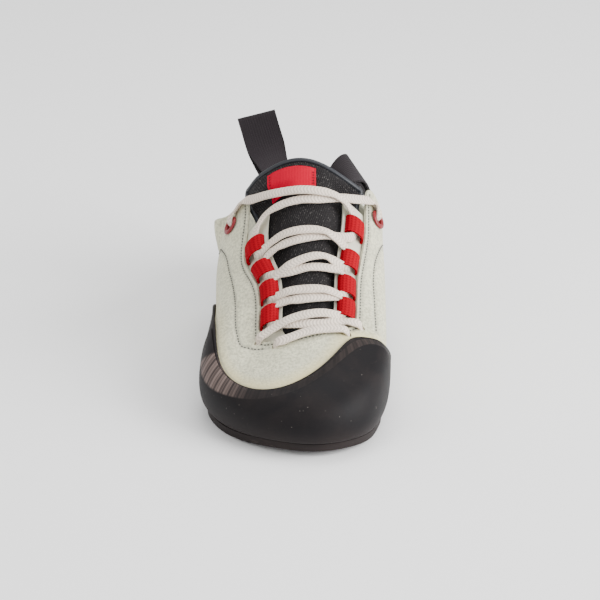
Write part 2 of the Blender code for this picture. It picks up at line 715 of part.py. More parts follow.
def build_lace(made_of):
    turns = np.linspace(BAR_FROM, BAR_TO, BAR_STEPS)
    lift = LACE_OVER_LEATHER + LACE_THICKNESS / 2
    levels = np.linspace(*BAR_LEVELS, BAR_STEPS)
    bar = [(layer(*place, lift), surface_normal(*place)) for place in zip(turns, levels)]
    strap("lace_bar", bar, made_of)

    under_peak = LACE_PEAK
    over_peak = LACE_PEAK + LACE_PLY
    corner, start = over_leather(RIB_INDEX["fourth_toe_lateral"] + 0.1, CORNER_LEVELS)
    over = lace_path(start, beside_loop(1, 0, -1), over_peak, corner)
    corner, start = over_leather(RIB_INDEX["big_toe_medial"] + 0.4, CORNER_LEVELS)
    under = lace_path(start, beside_loop(-1, 0, -1), under_peak, corner)
    join_crossing(1, over, under, made_of)
    for number in (0, 1, 2):
        side = 1 if number == 1 else -1
        over = lace_path(beside_loop(side, number + 1, -1), beside_loop(-side, number, 1), over_peak)
        under = lace_path(beside_loop(-side, number + 1, -1), beside_loop(side, number, 1), under_peak)
        join_crossing(number + 2, over, under, made_of)
    corner, start = over_leather(RIB_INDEX["waist_lateral"], FLAP_LEVELS)
    over = lace_path(start, beside_loop(1, 3, 1), over_peak + LABEL_LIFT, corner)
    corner, start = over_leather(RIB_INDEX["waist_medial"], FLAP_LEVELS)
    under = lace_path(start, beside_loop(-1, 3, 1), under_peak + LABEL_LIFT, corner)
    join_crossing(5, over, under, made_of)


def circle(origin, axis, radius, height):
    """Points evenly round an axis, at a height along it."""
    first = unit(np.cross(axis, np.array([0.0, 0.0, 1.0])))
    second = np.cross(axis, first)
    angles = np.linspace(0.0, 2 * math.pi, EYELET_COUNT, endpoint=False)[:, None]
    return origin + axis * height + radius * (first * np.cos(angles) + second * np.sin(angles))


def turned(name, profile, origin, axis, made_of):
    """A ring turned round axis. The profile's rows are radius and height, in order round its section."""
    vertices = np.concatenate([circle(origin, axis, radius, height) for radius, height in profile])
    faces = []
    rows = len(profile)
    count = EYELET_COUNT
    for row in range(rows):
        above = (row + 1) % rows
        for number in range(count):
            beside = (number + 1) % count
            a, b = row * count + number, row * count + beside
            faces.append((a, b, above * count + beside, above * count + number))
    return new_object(name, vertices, faces, made_of)


def eyelet_place(side):
    """The middle of an eyelet, its axis, and how far the leather under its flange rises above the middle."""
    middle = surface(EYELET_TURN[side], EYELET_LEVEL[side])
    turns, levels = np.meshgrid(
        EYELET_TURN[side] + np.linspace(-0.6, 0.6, 41), EYELET_LEVEL[side] + np.linspace(-0.2, 0.14, 41)
    )
    around = (surface(turns, levels) - middle).reshape(-1, 3)
    around = around[np.linalg.norm(around, axis=1) < EYELET_RADIUS]
    axis = unit(np.linalg.svd(around)[2][2])
    axis *= np.sign(np.dot(axis, surface_normal(EYELET_TURN[side], EYELET_LEVEL[side])))
    return middle, axis, (around @ axis).max()


def build_eyelet(side, enamel):
    """A short tube through the leather with a rounded flange outside it."""
    origin, axis, highest = eyelet_place(side)
    tube = EYELET_BORE + EYELET_TUBE
    crest = 0.5 * (tube + EYELET_RADIUS)
    seat_height = highest + EYELET_GAP
    profile = (
        (EYELET_BORE, -UPPER_WALL),
        (tube, -UPPER_WALL),
        (tube, seat_height),
        (EYELET_RADIUS, seat_height),
        (EYELET_RADIUS, seat_height + 0.5 * EYELET_FLANGE),
        (crest, seat_height + EYELET_FLANGE),
        (EYELET_BORE, seat_height + 0.6 * EYELET_FLANGE),
    )
    return turned(f"eyelet_{SIDE_NAME[side]}", profile, origin, axis, enamel)


def cut_eyelet_hole(upper, side, made_of):
    origin, axis, _ = eyelet_place(side)
    radius = EYELET_BORE + EYELET_TUBE + EYELET_GAP
    count = EYELET_COUNT
    ends = [circle(origin, axis, radius, height) for height in (-3 * UPPER_WALL, 3 * UPPER_WALL)]
    vertices = np.concatenate(ends)
    faces = [tuple(range(count)), tuple(range(count, 2 * count))]
    for number in range(count):
        beside = (number + 1) % count
        faces.append((number, beside, count + beside, count + number))
    cutter = new_object(f"eyelet_hole_{SIDE_NAME[side]}", vertices, faces, made_of)
    cutter.hide_render = True
    cutter.display_type = "WIRE"
    cut = upper.modifiers.new("eyelet_hole", "BOOLEAN")
    cut.operation = "DIFFERENCE"
    cut.solver = "EXACT"
    cut.object = cutter


def thicken(middle, thickness):
    """The two faces of a sheet whose middle is a grid of points."""
    along = np.gradient(middle, axis=0)
    across = np.gradient(middle, axis=1)
    normal = unit(np.cross(along, across))
    return middle + normal * thickness / 2, middle - normal * thickness / 2


def build_pull_loop(side, webbing):
    """Webbing folded over the collar, one ply inside the upper and the other outside."""
    turns = PULL_RIB[side] + np.array(PULL_TURNS[side])
    inside = -UPPER_WALL - PULL_GAP - PULL_TAPE / 2
    outside = PULL_GAP + PULL_TAPE / 2
    base_in = layer(turns, 2.0, inside)
    base_out = layer(turns, 2.0, outside)
    base = 0.5 * (base_in + base_out)
    steps = np.linalg.norm(np.diff(base, axis=0), axis=1)
    shares = 2.0 * np.concatenate([[0.0], np.cumsum(steps)]) / np.sum(steps) - 1.0
    offsets = [PULL_REACH * np.array([step.x, step.y, step.z]) for step in PULL_WAY[side]]
    middles = blend([base[2]] + [base[2] + offset for offset in offsets], PULL_ROWS)
    across = [unit(base[-1] - base[0])] + [np.array(step.way) for step in PULL_WAY[side]]
    ways = unit(blend(across, PULL_ROWS))
    rises = unit(np.gradient(middles, axis=0))
    backs = unit(np.cross(ways, rises))
    backs *= np.sign(np.dot(backs[0], base_out[2] - base_in[2]))
    half = 0.5 * PULL_WIDTH * shares[:, None]
    going_up, coming_down = [base_in], [base_out]
    for step in range(1, PULL_ROWS):
        near = 1.0 - smooth(0.0, 0.5 * PULL_ROWS, step)
        straight = middles[step] + half * ways[step]
        going_up.append((straight - backs[step] * PULL_FOLD) * (1 - near) + base_in * near)
        coming_down.append((straight + backs[step] * PULL_FOLD) * (1 - near) + base_out * near)
        if 0 < near < 1:
            drift = near * (middles[step] - base[2])
            going_up[-1] = going_up[-1] + drift
            coming_down[-1] = coming_down[-1] + drift
    fold = []
    for angle in np.linspace(0.0, math.pi, 4)[1:-1]:
        turn_back = -backs[-1] * math.cos(angle) + rises[-1] * math.sin(angle)
        fold.append(middles[-1] + half * ways[-1] + turn_back * PULL_FOLD)
    levels = wall_levels(turns)[-1 - PULL_WALL_ROWS : -1]
    rows = [layer(turns, level, inside) for level in levels]
    rows += going_up + fold + coming_down[::-1]
    rows += [layer(turns, level, outside) for level in levels[::-1]]
    outer, inner = thicken(np.array(rows), PULL_TAPE)
    return new_object(f"pull_loop_{SIDE_NAME[side]}", *slab(outer, inner), webbing)


def clear_scene():
    for old in list(bpy.data.objects):
        bpy.data.objects.remove(old)


def stand_on_origin():
    """Moves every piece so that the origin is at the middle of the shoe's box, at its lowest point."""
    solids = [made.data for made in bpy.data.objects if not made.hide_render]
    points = np.array([tuple(vertex.co) for mesh in solids for vertex in mesh.vertices])
    low, high = points.min(0), points.max(0)
    shift = Vector(((low[0] + high[0]) / 2, (low[1] + high[1]) / 2, low[2]))
    for made in bpy.data.objects:
        made.data.transform(Matrix.Translation(-shift))
        made.data.update()


def main():
    clear_scene()
    rubber = material("black_rubber", (0.030, 0.029, 0.031), 0.55)
    leather = material("pale_leather", (0.62, 0.63, 0.55), 0.80)
    board = material("insole_board", (0.30, 0.29, 0.27), 0.90)
    facing = material("pale_facing", (0.66, 0.65, 0.58), 0.85)
    textile = material("black_textile", (0.022, 0.022, 0.024), 0.75)
    red_cloth = material("red_cloth", (0.60, 0.02, 0.03), 0.80)
    red_tape = material("red_tape", (0.58, 0.015, 0.02), 0.70)
    red_enamel = material("red_enamel", (0.45, 0.02, 0.02), 0.35)
    lace = material("pale_lace", (0.66, 0.61, 0.56), 0.85)
    webbing = material("black_webbing", (0.030, 0.028, 0.029), 0.80)
    build_outsole(rubber)
    build_insole(board)
    upper = build_upper(leather)
    build_rand(rubber)
    build_toe_cap(rubber)
    build_tongue(textile)
    build_label(red_cloth)
    for side in (1, -1):
        build_eyestay(side, facing)
        for number in range(len(LOOP_STATIONS[side])):
            build_lace_loop(side, number, red_tape)
        cut_eyelet_hole(upper, side, leather)
        build_eyelet(side, red_enamel)
        build_pull_loop(side, webbing)
    build_lace(lace)
    stand_on_origin()


if __name__ == "__main__":
    main()
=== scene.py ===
"""The finish of a lace-up climbing shoe for the right foot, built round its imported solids.

Units are metres and +Z is up. The toe points to -Y and the big toe side is +X.
The upper, rubber and eyestays lie on one surface, ruled by ribs from the feather edge to the topline.
A turn counts ribs round the shoe from the back of the heel, along the big toe side and back.
A level is 0 at the feather edge, 1 at the widest line and 2 at the topline.
"""

import math
from collections import namedtuple

import bpy
import numpy as np
from bpy.props import FloatProperty, FloatVectorProperty, PointerProperty
from mathutils import Matrix, Vector
from mathutils.kdtree import KDTree


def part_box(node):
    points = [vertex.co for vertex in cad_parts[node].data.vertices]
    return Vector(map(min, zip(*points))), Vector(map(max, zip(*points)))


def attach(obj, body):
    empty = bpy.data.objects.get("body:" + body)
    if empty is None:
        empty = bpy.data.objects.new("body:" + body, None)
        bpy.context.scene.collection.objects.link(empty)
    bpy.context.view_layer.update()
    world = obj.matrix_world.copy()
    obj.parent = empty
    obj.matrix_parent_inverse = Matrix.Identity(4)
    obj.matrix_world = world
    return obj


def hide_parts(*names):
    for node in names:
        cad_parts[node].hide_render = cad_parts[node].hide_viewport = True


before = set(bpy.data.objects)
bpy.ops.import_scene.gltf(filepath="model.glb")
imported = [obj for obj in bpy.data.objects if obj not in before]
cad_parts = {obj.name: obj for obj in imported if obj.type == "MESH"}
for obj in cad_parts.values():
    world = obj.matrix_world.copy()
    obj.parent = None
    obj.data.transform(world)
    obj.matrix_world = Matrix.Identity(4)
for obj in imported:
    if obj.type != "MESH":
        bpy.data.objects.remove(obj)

bl_info = {
    "name": "Climbing Shoe",
    "version": (1, 0, 0),
    "blender": (4, 5, 0),
    "location": "3D View > Sidebar > Shoe",
    "description": "Leather, rubber, webbing and laces of a climbing shoe",
    "category": "Add Mesh",
}

# Driving sizes of the last, the same as the solids were made from.
LENGTH = 0.2540
BALL_WIDTH = 0.0880
COLLAR_HEIGHT = 0.0740
GAP = 0.0003
SEAT_GAP = 0.0005
UPPER_WALL = 0.0022
RAND_WALL = 0.0016
CAP_WALL = 0.0020
SOLE_WALL = 0.0045
SOLE_CHAMFER = 0.0012
INSOLE_WALL = 0.0020
EYESTAY_WALL = 0.0012
TOE_SPRING = 0.0030
SPRING_LENGTH = 0.0400
ARCH_START = 0.1000
ARCH_PEAK = 0.1450
ARCH_END = 0.1950
ARCH_LIFT = 0.0060
ARCH_MEDIAL_LIFT = 0.0035
THROAT_START = 0.0535
THROAT_HEIGHT = 0.0440
INSTEP_ANGLE = math.radians(34.0)
RIDGE_X = 0.0010
SAG_AT_START = 2.59 / LENGTH
SAG_GROWTH = 7.1 / LENGTH**2
SAG_LEAST = 0.3 * SAG_AT_START

# A row for each rib, round the shoe from the back of the heel along the big toe side, and back.
# along and top_along are shares of LENGTH, across and top_across of BALL_WIDTH, height and top_height
# of COLLAR_HEIGHT. inset is how far the feather edge lies inside the widest line, as a share of
# BALL_WIDTH. flare leans the wall outwards above the widest line. instep is 1 where the topline lies
# on the instep. rise and crown are the lengths of the rib's two handles, as shares of its chord.
# rand is the level where the rubber rand ends.
Rib = namedtuple(
    "Rib",
    "name along across height inset flare top_along top_across top_height instep rise crown rand",
)
RIBS = (
    Rib("heel_back", 1.000, 0.000, 0.36, 0.055, -0.10, 0.955, 0.000, 0.90, 0.0, 0.36, 0.30, 1.62),
    Rib("heel_corner_medial", 0.950, 0.235, 0.35, 0.055, -0.08, 0.918, 0.205, 0.87, 0.0, 0.36, 0.30, 1.55),
    Rib("heel_medial", 0.835, 0.345, 0.34, 0.050, 0.00, 0.810, 0.335, 0.83, 0.0, 0.36, 0.30, 1.25),
    Rib("breast_medial", 0.680, 0.350, 0.36, 0.050, 0.20, 0.635, 0.450, 0.95, 0.0, 0.36, 0.30, 1.04),
    Rib("waist_medial", 0.525, 0.385, 0.36, 0.050, 0.22, 0.589, 0.360, 1.10, 1.0, 0.42, 0.28, 1.02),
    Rib("joint_back_medial", 0.385, 0.425, 0.30, 0.050, 0.14, 0.478, 0.335, 1.00, 1.0, 0.42, 0.30, 1.04),
    Rib("ball_medial", 0.265, 0.445, 0.27, 0.048, 0.06, 0.355, 0.282, 0.80, 1.0, 0.42, 0.32, 1.15),
    Rib("big_toe_medial", 0.125, 0.385, 0.25, 0.045, 0.02, 0.262, 0.264, 0.70, 1.0, 0.40, 0.36, 1.69),
    Rib("toe_corner_medial", 0.035, 0.255, 0.21, 0.045, 0.00, 0.234, 0.165, 0.62, 1.0, 0.34, 0.38, 1.86),
    Rib("toe_tip", 0.000, 0.010, 0.20, 0.045, 0.00, 0.217, 0.000, 0.60, 1.0, 0.30, 0.38, 1.60),
    Rib("toe_corner_lateral", 0.032, -0.260, 0.20, 0.045, 0.00, 0.213, -0.150, 0.60, 1.0, 0.32, 0.36, 1.40),
    Rib("fourth_toe_lateral", 0.090, -0.450, 0.21, 0.045, 0.00, 0.226, -0.280, 0.62, 1.0, 0.34, 0.34, 1.38),
    Rib("little_toe_lateral", 0.170, -0.580, 0.22, 0.045, 0.00, 0.276, -0.305, 0.66, 1.0, 0.38, 0.32, 1.39),
    Rib("ball_lateral", 0.275, -0.625, 0.24, 0.048, 0.00, 0.362, -0.325, 0.76, 1.0, 0.42, 0.30, 1.42),
    Rib("joint_back_lateral", 0.385, -0.575, 0.27, 0.050, 0.10, 0.469, -0.405, 0.90, 1.0, 0.42, 0.30, 1.32),
    Rib("waist_lateral", 0.525, -0.535, 0.30, 0.050, 0.40, 0.600, -0.404, 1.06, 1.0, 0.42, 0.28, 1.12),
    Rib("breast_lateral", 0.680, -0.470, 0.34, 0.050, 0.46, 0.658, -0.598, 0.88, 0.0, 0.36, 0.30, 1.06),
    Rib("heel_lateral", 0.835, -0.350, 0.34, 0.050, 0.04, 0.810, -0.370, 0.82, 0.0, 0.36, 0.30, 1.25),
    Rib("heel_corner_lateral", 0.95, -0.240, 0.35, 0.055, -0.06, 0.918, -0.210, 0.87, 0.0, 0.36, 0.30, 1.55),
)
RIB_INDEX = {rib.name: number for number, rib in enumerate(RIBS)}
TIP = RIB_INDEX["toe_tip"]
MEDIAL, LATERAL = 1, -1
UP = np.array([0.0, 0.0, 1.0])
SIDE_NAME = {MEDIAL: "medial", LATERAL: "lateral"}
SOLID_COLUMNS_PER_BAY = 3

# The toe cap. Its bevel's height is in levels, and grows by the second value towards the small toes.
CAP_FROM = RIB_INDEX["ball_medial"]
CAP_TO = RIB_INDEX["ball_lateral"]
CAP_END_SHARE = 0.12
CAP_TOP_SHARE = 0.965
CAP_BEVEL = 0.105
CAP_BEVEL_WIDENS = 0.14
CAP_WIDENS_TURNS = (9.6, 12.4)
CAP_EDGE = 0.0004

# Where the bevel is ground pale. The pale rubber ends at a cut that slants across the bevel.
GROUND_LATERAL_TURNS = (10.2, 11.6)
GROUND_MEDIAL_TURNS = (6.7, 7.3, 8.1, 8.8)
GROUND_CUT_TURN = 12.16
GROUND_CUT_LEVEL = 1.40
GROUND_CUT_SLANT = 1.9

# The facings inside the throat, the webbing loops on them, and the eyelets.
EYESTAY_SHOWS = 0.0110
EYESTAY_HIDES = 0.0100
EYESTAY_SIDES = {
    MEDIAL: (RIB_INDEX["waist_medial"] + 2 / 3, RIB_INDEX["toe_corner_medial"] - 1 / 3),
    LATERAL: (RIB_INDEX["toe_corner_lateral"] + 2 / 3, RIB_INDEX["waist_lateral"] - 2 / 3),
}
LOOP_TAPE = 0.0008
LOOP_LENGTH = 0.0115
LOOP_SPAN = 0.0094
LOOP_HEIGHT = 0.0046
LOOP_HALF = 0.5 * LOOP_LENGTH * math.cos(INSTEP_ANGLE)
LOOP_STATIONS = {MEDIAL: (0.278, 0.327, 0.386, 0.467), LATERAL: (0.272, 0.327, 0.384, 0.450)}
EYELET_RADIUS = 0.0054
EYELET_BORE = 0.0027
EYELET_TUBE = 0.0006
EYELET_FLANGE = 0.0010
EYELET_GAP = 0.00045
EYELET_TURN = {MEDIAL: RIB_INDEX["waist_medial"] + 0.46, LATERAL: RIB_INDEX["waist_lateral"] - 0.13}
EYELET_LEVEL = {MEDIAL: 1.80, LATERAL: 1.73}

# The tongue and its label.
TONGUE_ROOT = 0.0470
TONGUE_TOP = 0.1485
TONGUE_ROOT_HALF = 0.0190
TONGUE_TOP_HALF = 0.0343
TONGUE_EARS = 0.0072
TONGUE_FLARE = 0.0090
TONGUE_LEAN = -0.0057
TONGUE_SLANT = -0.0094
TONGUE_WALL = 0.0030
TONGUE_CROWN = -0.0008
TONGUE_SLACK = 0.0013
TONGUE_ROOT_RISE = 0.0260
TONGUE_FLAT_SHARE = 0.35
TONGUE_FLAT_AT_TOP = 0.62
TONGUE_SPREADS_FROM = 0.1350
TONGUE_SPREADS_TO = 0.1460
TONGUE_ROUNDING = 0.0009
BINDING_WIDTH = 0.0027
BINDING_STANDS_OUT = 0.0004
LABEL_WIDTH = 0.0255
LABEL_LENGTH = 0.0165
LABEL_WALL = 0.0005
LABEL_GAP = 0.0013
LABEL_OFF_RIDGE = -0.0108
LABEL_BELOW_TOP = 0.0033
LABEL_STITCH_LENGTH = 0.0011
LABEL_STITCH_PITCH = 0.0018
LABEL_THREAD = 0.00030

# The pull loops. Their rows inside and outside the upper stand at the levels of the solid upper's rows.
PULL_WIDTH = 0.0220
PULL_REACH = 0.0350
PULL_TAPE = 0.0011
PULL_FOLD = 0.0014
PULL_GAP = 0.00045
PULL_ROWS = 7
PULL_ROW_SHARES = (0.4, 0.6, 0.8)
PULL_RIB = {MEDIAL: RIB_INDEX["heel_corner_medial"], LATERAL: RIB_INDEX["heel_corner_lateral"]}
PULL_TURNS = {MEDIAL: (-0.42, -1 / 3, 0.0, 1 / 3, 0.46), LATERAL: (-0.46, -1 / 3, 0.0, 1 / 3, 0.42)}
PullStep = namedtuple("PullStep", "x y z way")
PULL_WAY = {
    MEDIAL: (
        PullStep(0.07, 0.09, 0.13, (0.45, -0.80, -0.30)),
        PullStep(0.24, 0.31, 0.10, (0.50, -0.66, -0.55)),
        PullStep(0.34, 0.54, -0.25, (0.50, -0.70, -0.40)),
    ),
    LATERAL: (
        PullStep(-0.21, 0.28, 0.50, (0.93, 0.25, 0.24)),
        PullStep(-0.36, 0.39, 0.99, (0.97, 0.05, 0.24)),
    ),
}

# Where the lace crosses the tongue, as places across and along the instep and the lift of its middle.
# Each strand runs from one webbing loop, hole or eyelet to the next one.
Place = namedtuple("Place", "across along lift")
OVER_5 = (
    Place(-0.0290, 0.1412, 0.0028), Place(-0.0210, 0.1350, 0.0032), Place(-0.0052, 0.1290, 0.0036),
    Place(0.0050, 0.1278, 0.0036), Place(0.0128, 0.1280, 0.0030), Place(0.0195, 0.1270, 0.0014),
)
UNDER_4 = (
    Place(0.0180, 0.1090, 0.0000), Place(0.0075, 0.1060, 0.0006), Place(-0.0027, 0.1042, 0.0008),
    Place(-0.0130, 0.1040, 0.0006), Place(-0.0190, 0.1042, 0.0000),
)
UNDER_3 = (
    Place(-0.0165, 0.0895, 0.0000), Place(-0.0105, 0.0880, 0.0006), Place(-0.0002, 0.0885, 0.0008),
    Place(0.0100, 0.0890, 0.0006), Place(0.0165, 0.0892, 0.0000),
)
UNDER_2 = (
    Place(0.0160, 0.0765, 0.0000), Place(0.0048, 0.0730, 0.0007), Place(-0.0052, 0.0722, 0.0008),
    Place(-0.0120, 0.0730, 0.0004),
)
UNDER_1 = (
    Place(-0.0155, 0.0622, 0.0000), Place(-0.0105, 0.0605, 0.0006), Place(-0.0002, 0.0590, 0.0008),
    Place(0.0098, 0.0602, 0.0008), Place(0.0175, 0.0630, 0.0012),
)
OVER_1 = (
    Place(-0.0180, 0.0602, 0.0018), Place(-0.0105, 0.0618, 0.0024), Place(-0.0002, 0.0632, 0.0026),
    Place(0.0073, 0.0642, 0.0022), Place(0.0135, 0.0650, 0.0008),
)
OVER_2 = (
    Place(0.0150, 0.0762, 0.0004), Place(0.0073, 0.0764, 0.0022), Place(-0.0002, 0.0760, 0.0026),
    Place(-0.0105, 0.0768, 0.0020), Place(-0.0160, 0.0775, 0.0004),
)
OVER_3 = (
    Place(-0.0160, 0.0895, 0.0004), Place(-0.0105, 0.0905, 0.0020), Place(-0.0002, 0.0930, 0.0026),
    Place(0.0075, 0.0940, 0.0022), Place(0.0150, 0.0928, 0.0004),
)
OVER_4 = (
    Place(0.0165, 0.1045, 0.0004), Place(0.0125, 0.1058, 0.0016), Place(0.0075, 0.1072, 0.0024),
    Place(-0.0027, 0.1076, 0.0026), Place(-0.0130, 0.1085, 0.0020), Place(-0.0200, 0.1090, 0.0004),
)
UNDER_5 = (
    Place(-0.0292, 0.1222, 0.0002), Place(-0.0270, 0.1252, 0.0007), Place(-0.0225, 0.1268, 0.0012),
    Place(-0.0140, 0.1258, 0.0014), Place(-0.0052, 0.1248, 0.0016), Place(0.0050, 0.1250, 0.0014),
    Place(0.0155, 0.1290, 0.0014), Place(0.0225, 0.1330, 0.0016),
)

# Where the lace lies over the flaps between the throat and the eyelets, as turns, levels and lifts.
FLAP_LATERAL = ((14.94, 1.860, 0.0014), (14.92, 1.925, 0.0016), (14.85, 1.985, 0.0022))
FLAP_MEDIAL = ((4.43, 1.985, 0.0024), (4.36, 1.935, 0.0018), (4.34, 1.885, 0.0015))

# The slits where the lace goes through the leather below the throat, as turns and levels.
HOLE_PLACES = {
    "hole_lateral": (11.22, 1.955),
    "hole_medial": (7.08, 1.925),
    "bar_lateral": (10.26, 1.940),
    "bar_medial": (7.82, 1.940),
}
EYELET_CUT = 0.012
SLIT_CUT = 0.008
SLIT_HALF_LENGTH = 0.0030
SLIT_NARROWS = 0.45
LACE_DIPS = 0.0062
LACE_STEP = 0.0007
DOUBLES_WITHIN = 0.000002

# The camera stands as it did for the photograph. Its pixels are those of a 600 by 600 frame.
FRAME_PIXELS = 600.0
FOCAL_PIXELS = 2600.0
CAMERA_ELEVATION = math.radians(22.0)
CAMERA_DISTANCE = 1.30
TOE_PIXEL = (313.0, 452.5)
TOE_HEIGHT = 0.0030
SENSOR = 36.0


def smooth(low, high, value):
    """0 below low and 1 above high, with a soft step between."""
    share = np.clip((value - low) / (high - low), 0.0, 1.0)
    return share * share * (3.0 - 2.0 * share)


def plateau(start, full, fading, end, value):
    """Rises from 0 at start to 1 at full, and falls from 1 at fading to 0 at end."""
    return smooth(start, full, value) * (1.0 - smooth(fading, end, value))


def alike(*values):
    """The values as arrays of one shape."""
    return np.broadcast_arrays(*[np.asarray(value, float) for value in values])


def unit(vector):
    return vector / np.maximum(np.linalg.norm(vector, axis=-1, keepdims=True), 1e-12)


def closed_spline(values, turns):
    """A smooth closed curve through values, read at turns, where a whole number is a value's own place."""
    values = np.asarray(values, float)
    count = len(values)
    second = np.roll(values, -1) - 2.0 * values + np.roll(values, 1)
    matrix = np.eye(count) * 4.0 + np.roll(np.eye(count), 1, 1) + np.roll(np.eye(count), -1, 1)
    bend = np.linalg.solve(matrix, 6.0 * second)
    turns = np.mod(np.asarray(turns, float), count)
    low = np.floor(turns).astype(int) % count
    high = (low + 1) % count
    part = turns - np.floor(turns)
    rest = 1.0 - part
    straight = rest * values[low] + part * values[high]
    curved = ((rest**3 - rest) * bend[low] + (part**3 - part) * bend[high]) / 6.0
    return straight + curved


def column(name, turns):
    """One column of the rib table at any place round the shoe."""
    return closed_spline([getattr(rib, name) for rib in RIBS], turns)


def seat(x, y):
    """Height of the outsole's upper face."""
    spring = TOE_SPRING * (1.0 - smooth(0.0, SPRING_LENGTH, y)) ** 2
    arch = plateau(ARCH_START, ARCH_PEAK, ARCH_PEAK, ARCH_END, y)
    medial = smooth(0.0, 0.5 * BALL_WIDTH, x)
    return SOLE_WALL + spring + arch * (ARCH_LIFT + ARCH_MEDIAL_LIFT * medial)


def sag(y):
    """How sharply the instep falls away to each side of its ridge, in metres per square metre."""
    return np.maximum(SAG_AT_START + SAG_GROWTH * (y - THROAT_START), SAG_LEAST)


def instep(x, y):
    """Height of the instep surface, on which the throat's edges lie."""
    ridge = THROAT_HEIGHT + math.tan(INSTEP_ANGLE) * (y - THROAT_START)
    return ridge - sag(y) * (x - RIDGE_X) ** 2


def instep_normal(x, y):
    step = 0.0005
    slope_x = (instep(x + step, y) - instep(x - step, y)) / (2 * step)
    slope_y = (instep(x, y + step) - instep(x, y - step)) / (2 * step)
    return unit(np.stack([-slope_x, -slope_y, np.ones_like(slope_x)], -1))


def instep_point(x, y, lift):
    """A point at lift above the instep surface, along its normal."""
    x, y, lift = alike(x, y, lift)
    return np.stack([x, y, instep(x, y)], -1) + lift[..., None] * instep_normal(x, y)


def widest_line(turns):
    lengths = {"across": BALL_WIDTH, "along": LENGTH, "height": COLLAR_HEIGHT}
    return np.stack([column(name, turns) * length for name, length in lengths.items()], -1)


def plan_normal(turns):
    """The outward direction in plan, at the widest line."""
    step = 0.05
    along = widest_line(turns + step) - widest_line(turns - step)
    return unit(np.stack([-along[..., 1], along[..., 0], np.zeros_like(along[..., 0])], -1))


def topline(turns):
    """The upper edge: the throat, the flaps and the collar."""
    x = column("top_across", turns) * BALL_WIDTH
    y = column("top_along", turns) * LENGTH
    on_instep = smooth(0.0, 1.0, column("instep", turns))
    z = on_instep * instep(x, y) + (1.0 - on_instep) * column("top_height", turns) * COLLAR_HEIGHT
    return np.stack([x, y, z], -1)


def surface(turns, levels):
    """The upper's outer face."""
    turns, levels = alike(turns, levels)
    widest = widest_line(turns)
    outward = plan_normal(turns)
    top = topline(turns)
    lift = unit(column("flare", turns)[..., None] * outward + UP)

    feather = widest - outward * (column("inset", turns) * BALL_WIDTH)[..., None]
    feather[..., 2] = seat(feather[..., 0], feather[..., 1]) + SEAT_GAP
    drop = (widest[..., 2] - feather[..., 2])[..., None]
    corner = widest - lift * drop * 0.6

    chord = np.linalg.norm(top - widest, axis=-1)[..., None]
    step = 0.0005
    here = instep(top[..., 0], top[..., 1])
    there = instep(top[..., 0] - step * outward[..., 0], top[..., 1] - step * outward[..., 1])
    over_instep = unit(UP * ((there - here) / step)[..., None] - outward)
    upright = unit(UP - outward * 0.10)
    on_instep = smooth(0.0, 1.0, column("instep", turns))[..., None]
    arrive = unit(on_instep * over_instep + (1.0 - on_instep) * upright)
    first = widest + lift * chord * column("rise", turns)[..., None]
    second = top - arrive * chord * column("crown", turns)[..., None]

    low = np.clip(levels, 0.0, 1.0)[..., None]
    high = np.clip(levels - 1.0, 0.0, 1.0)[..., None]
    lower = (1 - low) ** 2 * feather + 2 * (1 - low) * low * corner + low**2 * widest
    upper = (
        (1 - high) ** 3 * widest
        + 3 * (1 - high) ** 2 * high * first
        + 3 * (1 - high) * high**2 * second
        + high**3 * top
    )
    return np.where(levels[..., None] <= 1.0, lower, upper)


def surface_normal(turns, levels):
    """Outward normal of the upper, turned level at the feather edge so that layers stand side by side."""
    turns, levels = alike(turns, levels)
    step = 0.02
    round_it = surface(turns + step, levels) - surface(turns - step, levels)
    up_it = surface(turns, np.minimum(levels + step, 2.0)) - surface(turns, np.maximum(levels - step, 0.0))
    normal = unit(np.cross(up_it, round_it))
    normal[..., 2] *= smooth(0.0, 0.8, levels)
    return unit(normal)


def layer(turns, levels, depth):
    """A point at depth outside the upper's outer face; inside it where depth is negative."""
    turns, levels, depth = alike(turns, levels, depth)
    point = surface(turns, levels) + surface_normal(turns, levels) * depth[..., None]
    on_sole = levels <= 0.0
    point[..., 2] = np.where(on_sole, seat(point[..., 0], point[..., 1]) + SEAT_GAP, point[..., 2])
    return point


def cap_share(turns):
    """1 under the body of the toe cap, falling to 0 at its two ends."""
    taper = CAP_END_SHARE * (CAP_TO - CAP_FROM)
    return plateau(CAP_FROM, CAP_FROM + taper, CAP_TO - taper, CAP_TO, np.mod(turns, len(RIBS)))


def throat_x(side, y):
    """Where the throat's edge is at y, on one side."""
    last = RIB_INDEX["waist_medial"] if side > 0 else RIB_INDEX["waist_lateral"]
    edge = topline(np.linspace(TIP, last, 121))
    return np.interp(y, np.maximum.accumulate(edge[:, 1]), edge[:, 0])


def origin_of_the_last():
    """Where the toe tip of the last stands in the frame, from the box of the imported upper."""
    turns = np.arange(SOLID_COLUMNS_PER_BAY * len(RIBS)) / SOLID_COLUMNS_PER_BAY
    rand = column("rand", turns)[None, :]
    shares = np.array([0.0, 0.18, 0.35, 0.52, 0.68, 0.84, 1.0])[:, None]
    low = shares * rand
    high = rand + (2.0 - rand) * np.linspace(0.0, 1.0, 6)[1:, None]
    outer = layer(turns[None, :], np.concatenate([low, high]), 0.0).reshape(-1, 3)
    place = np.array(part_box("upper")[0]) - outer.min(0)
    place[2] = 0.0
    return place


ORIGIN = origin_of_the_last()


def length_setting(name, text, size):
    return FloatProperty(name=name, description=text, default=size, unit="LENGTH")


def colour_setting(name, text, colour):
    return FloatVectorProperty(name=name, description=text, default=colour, subtype="COLOR")


def power_setting(name, text, power):
    return FloatProperty(name=name, description=text, default=power, unit="POWER")


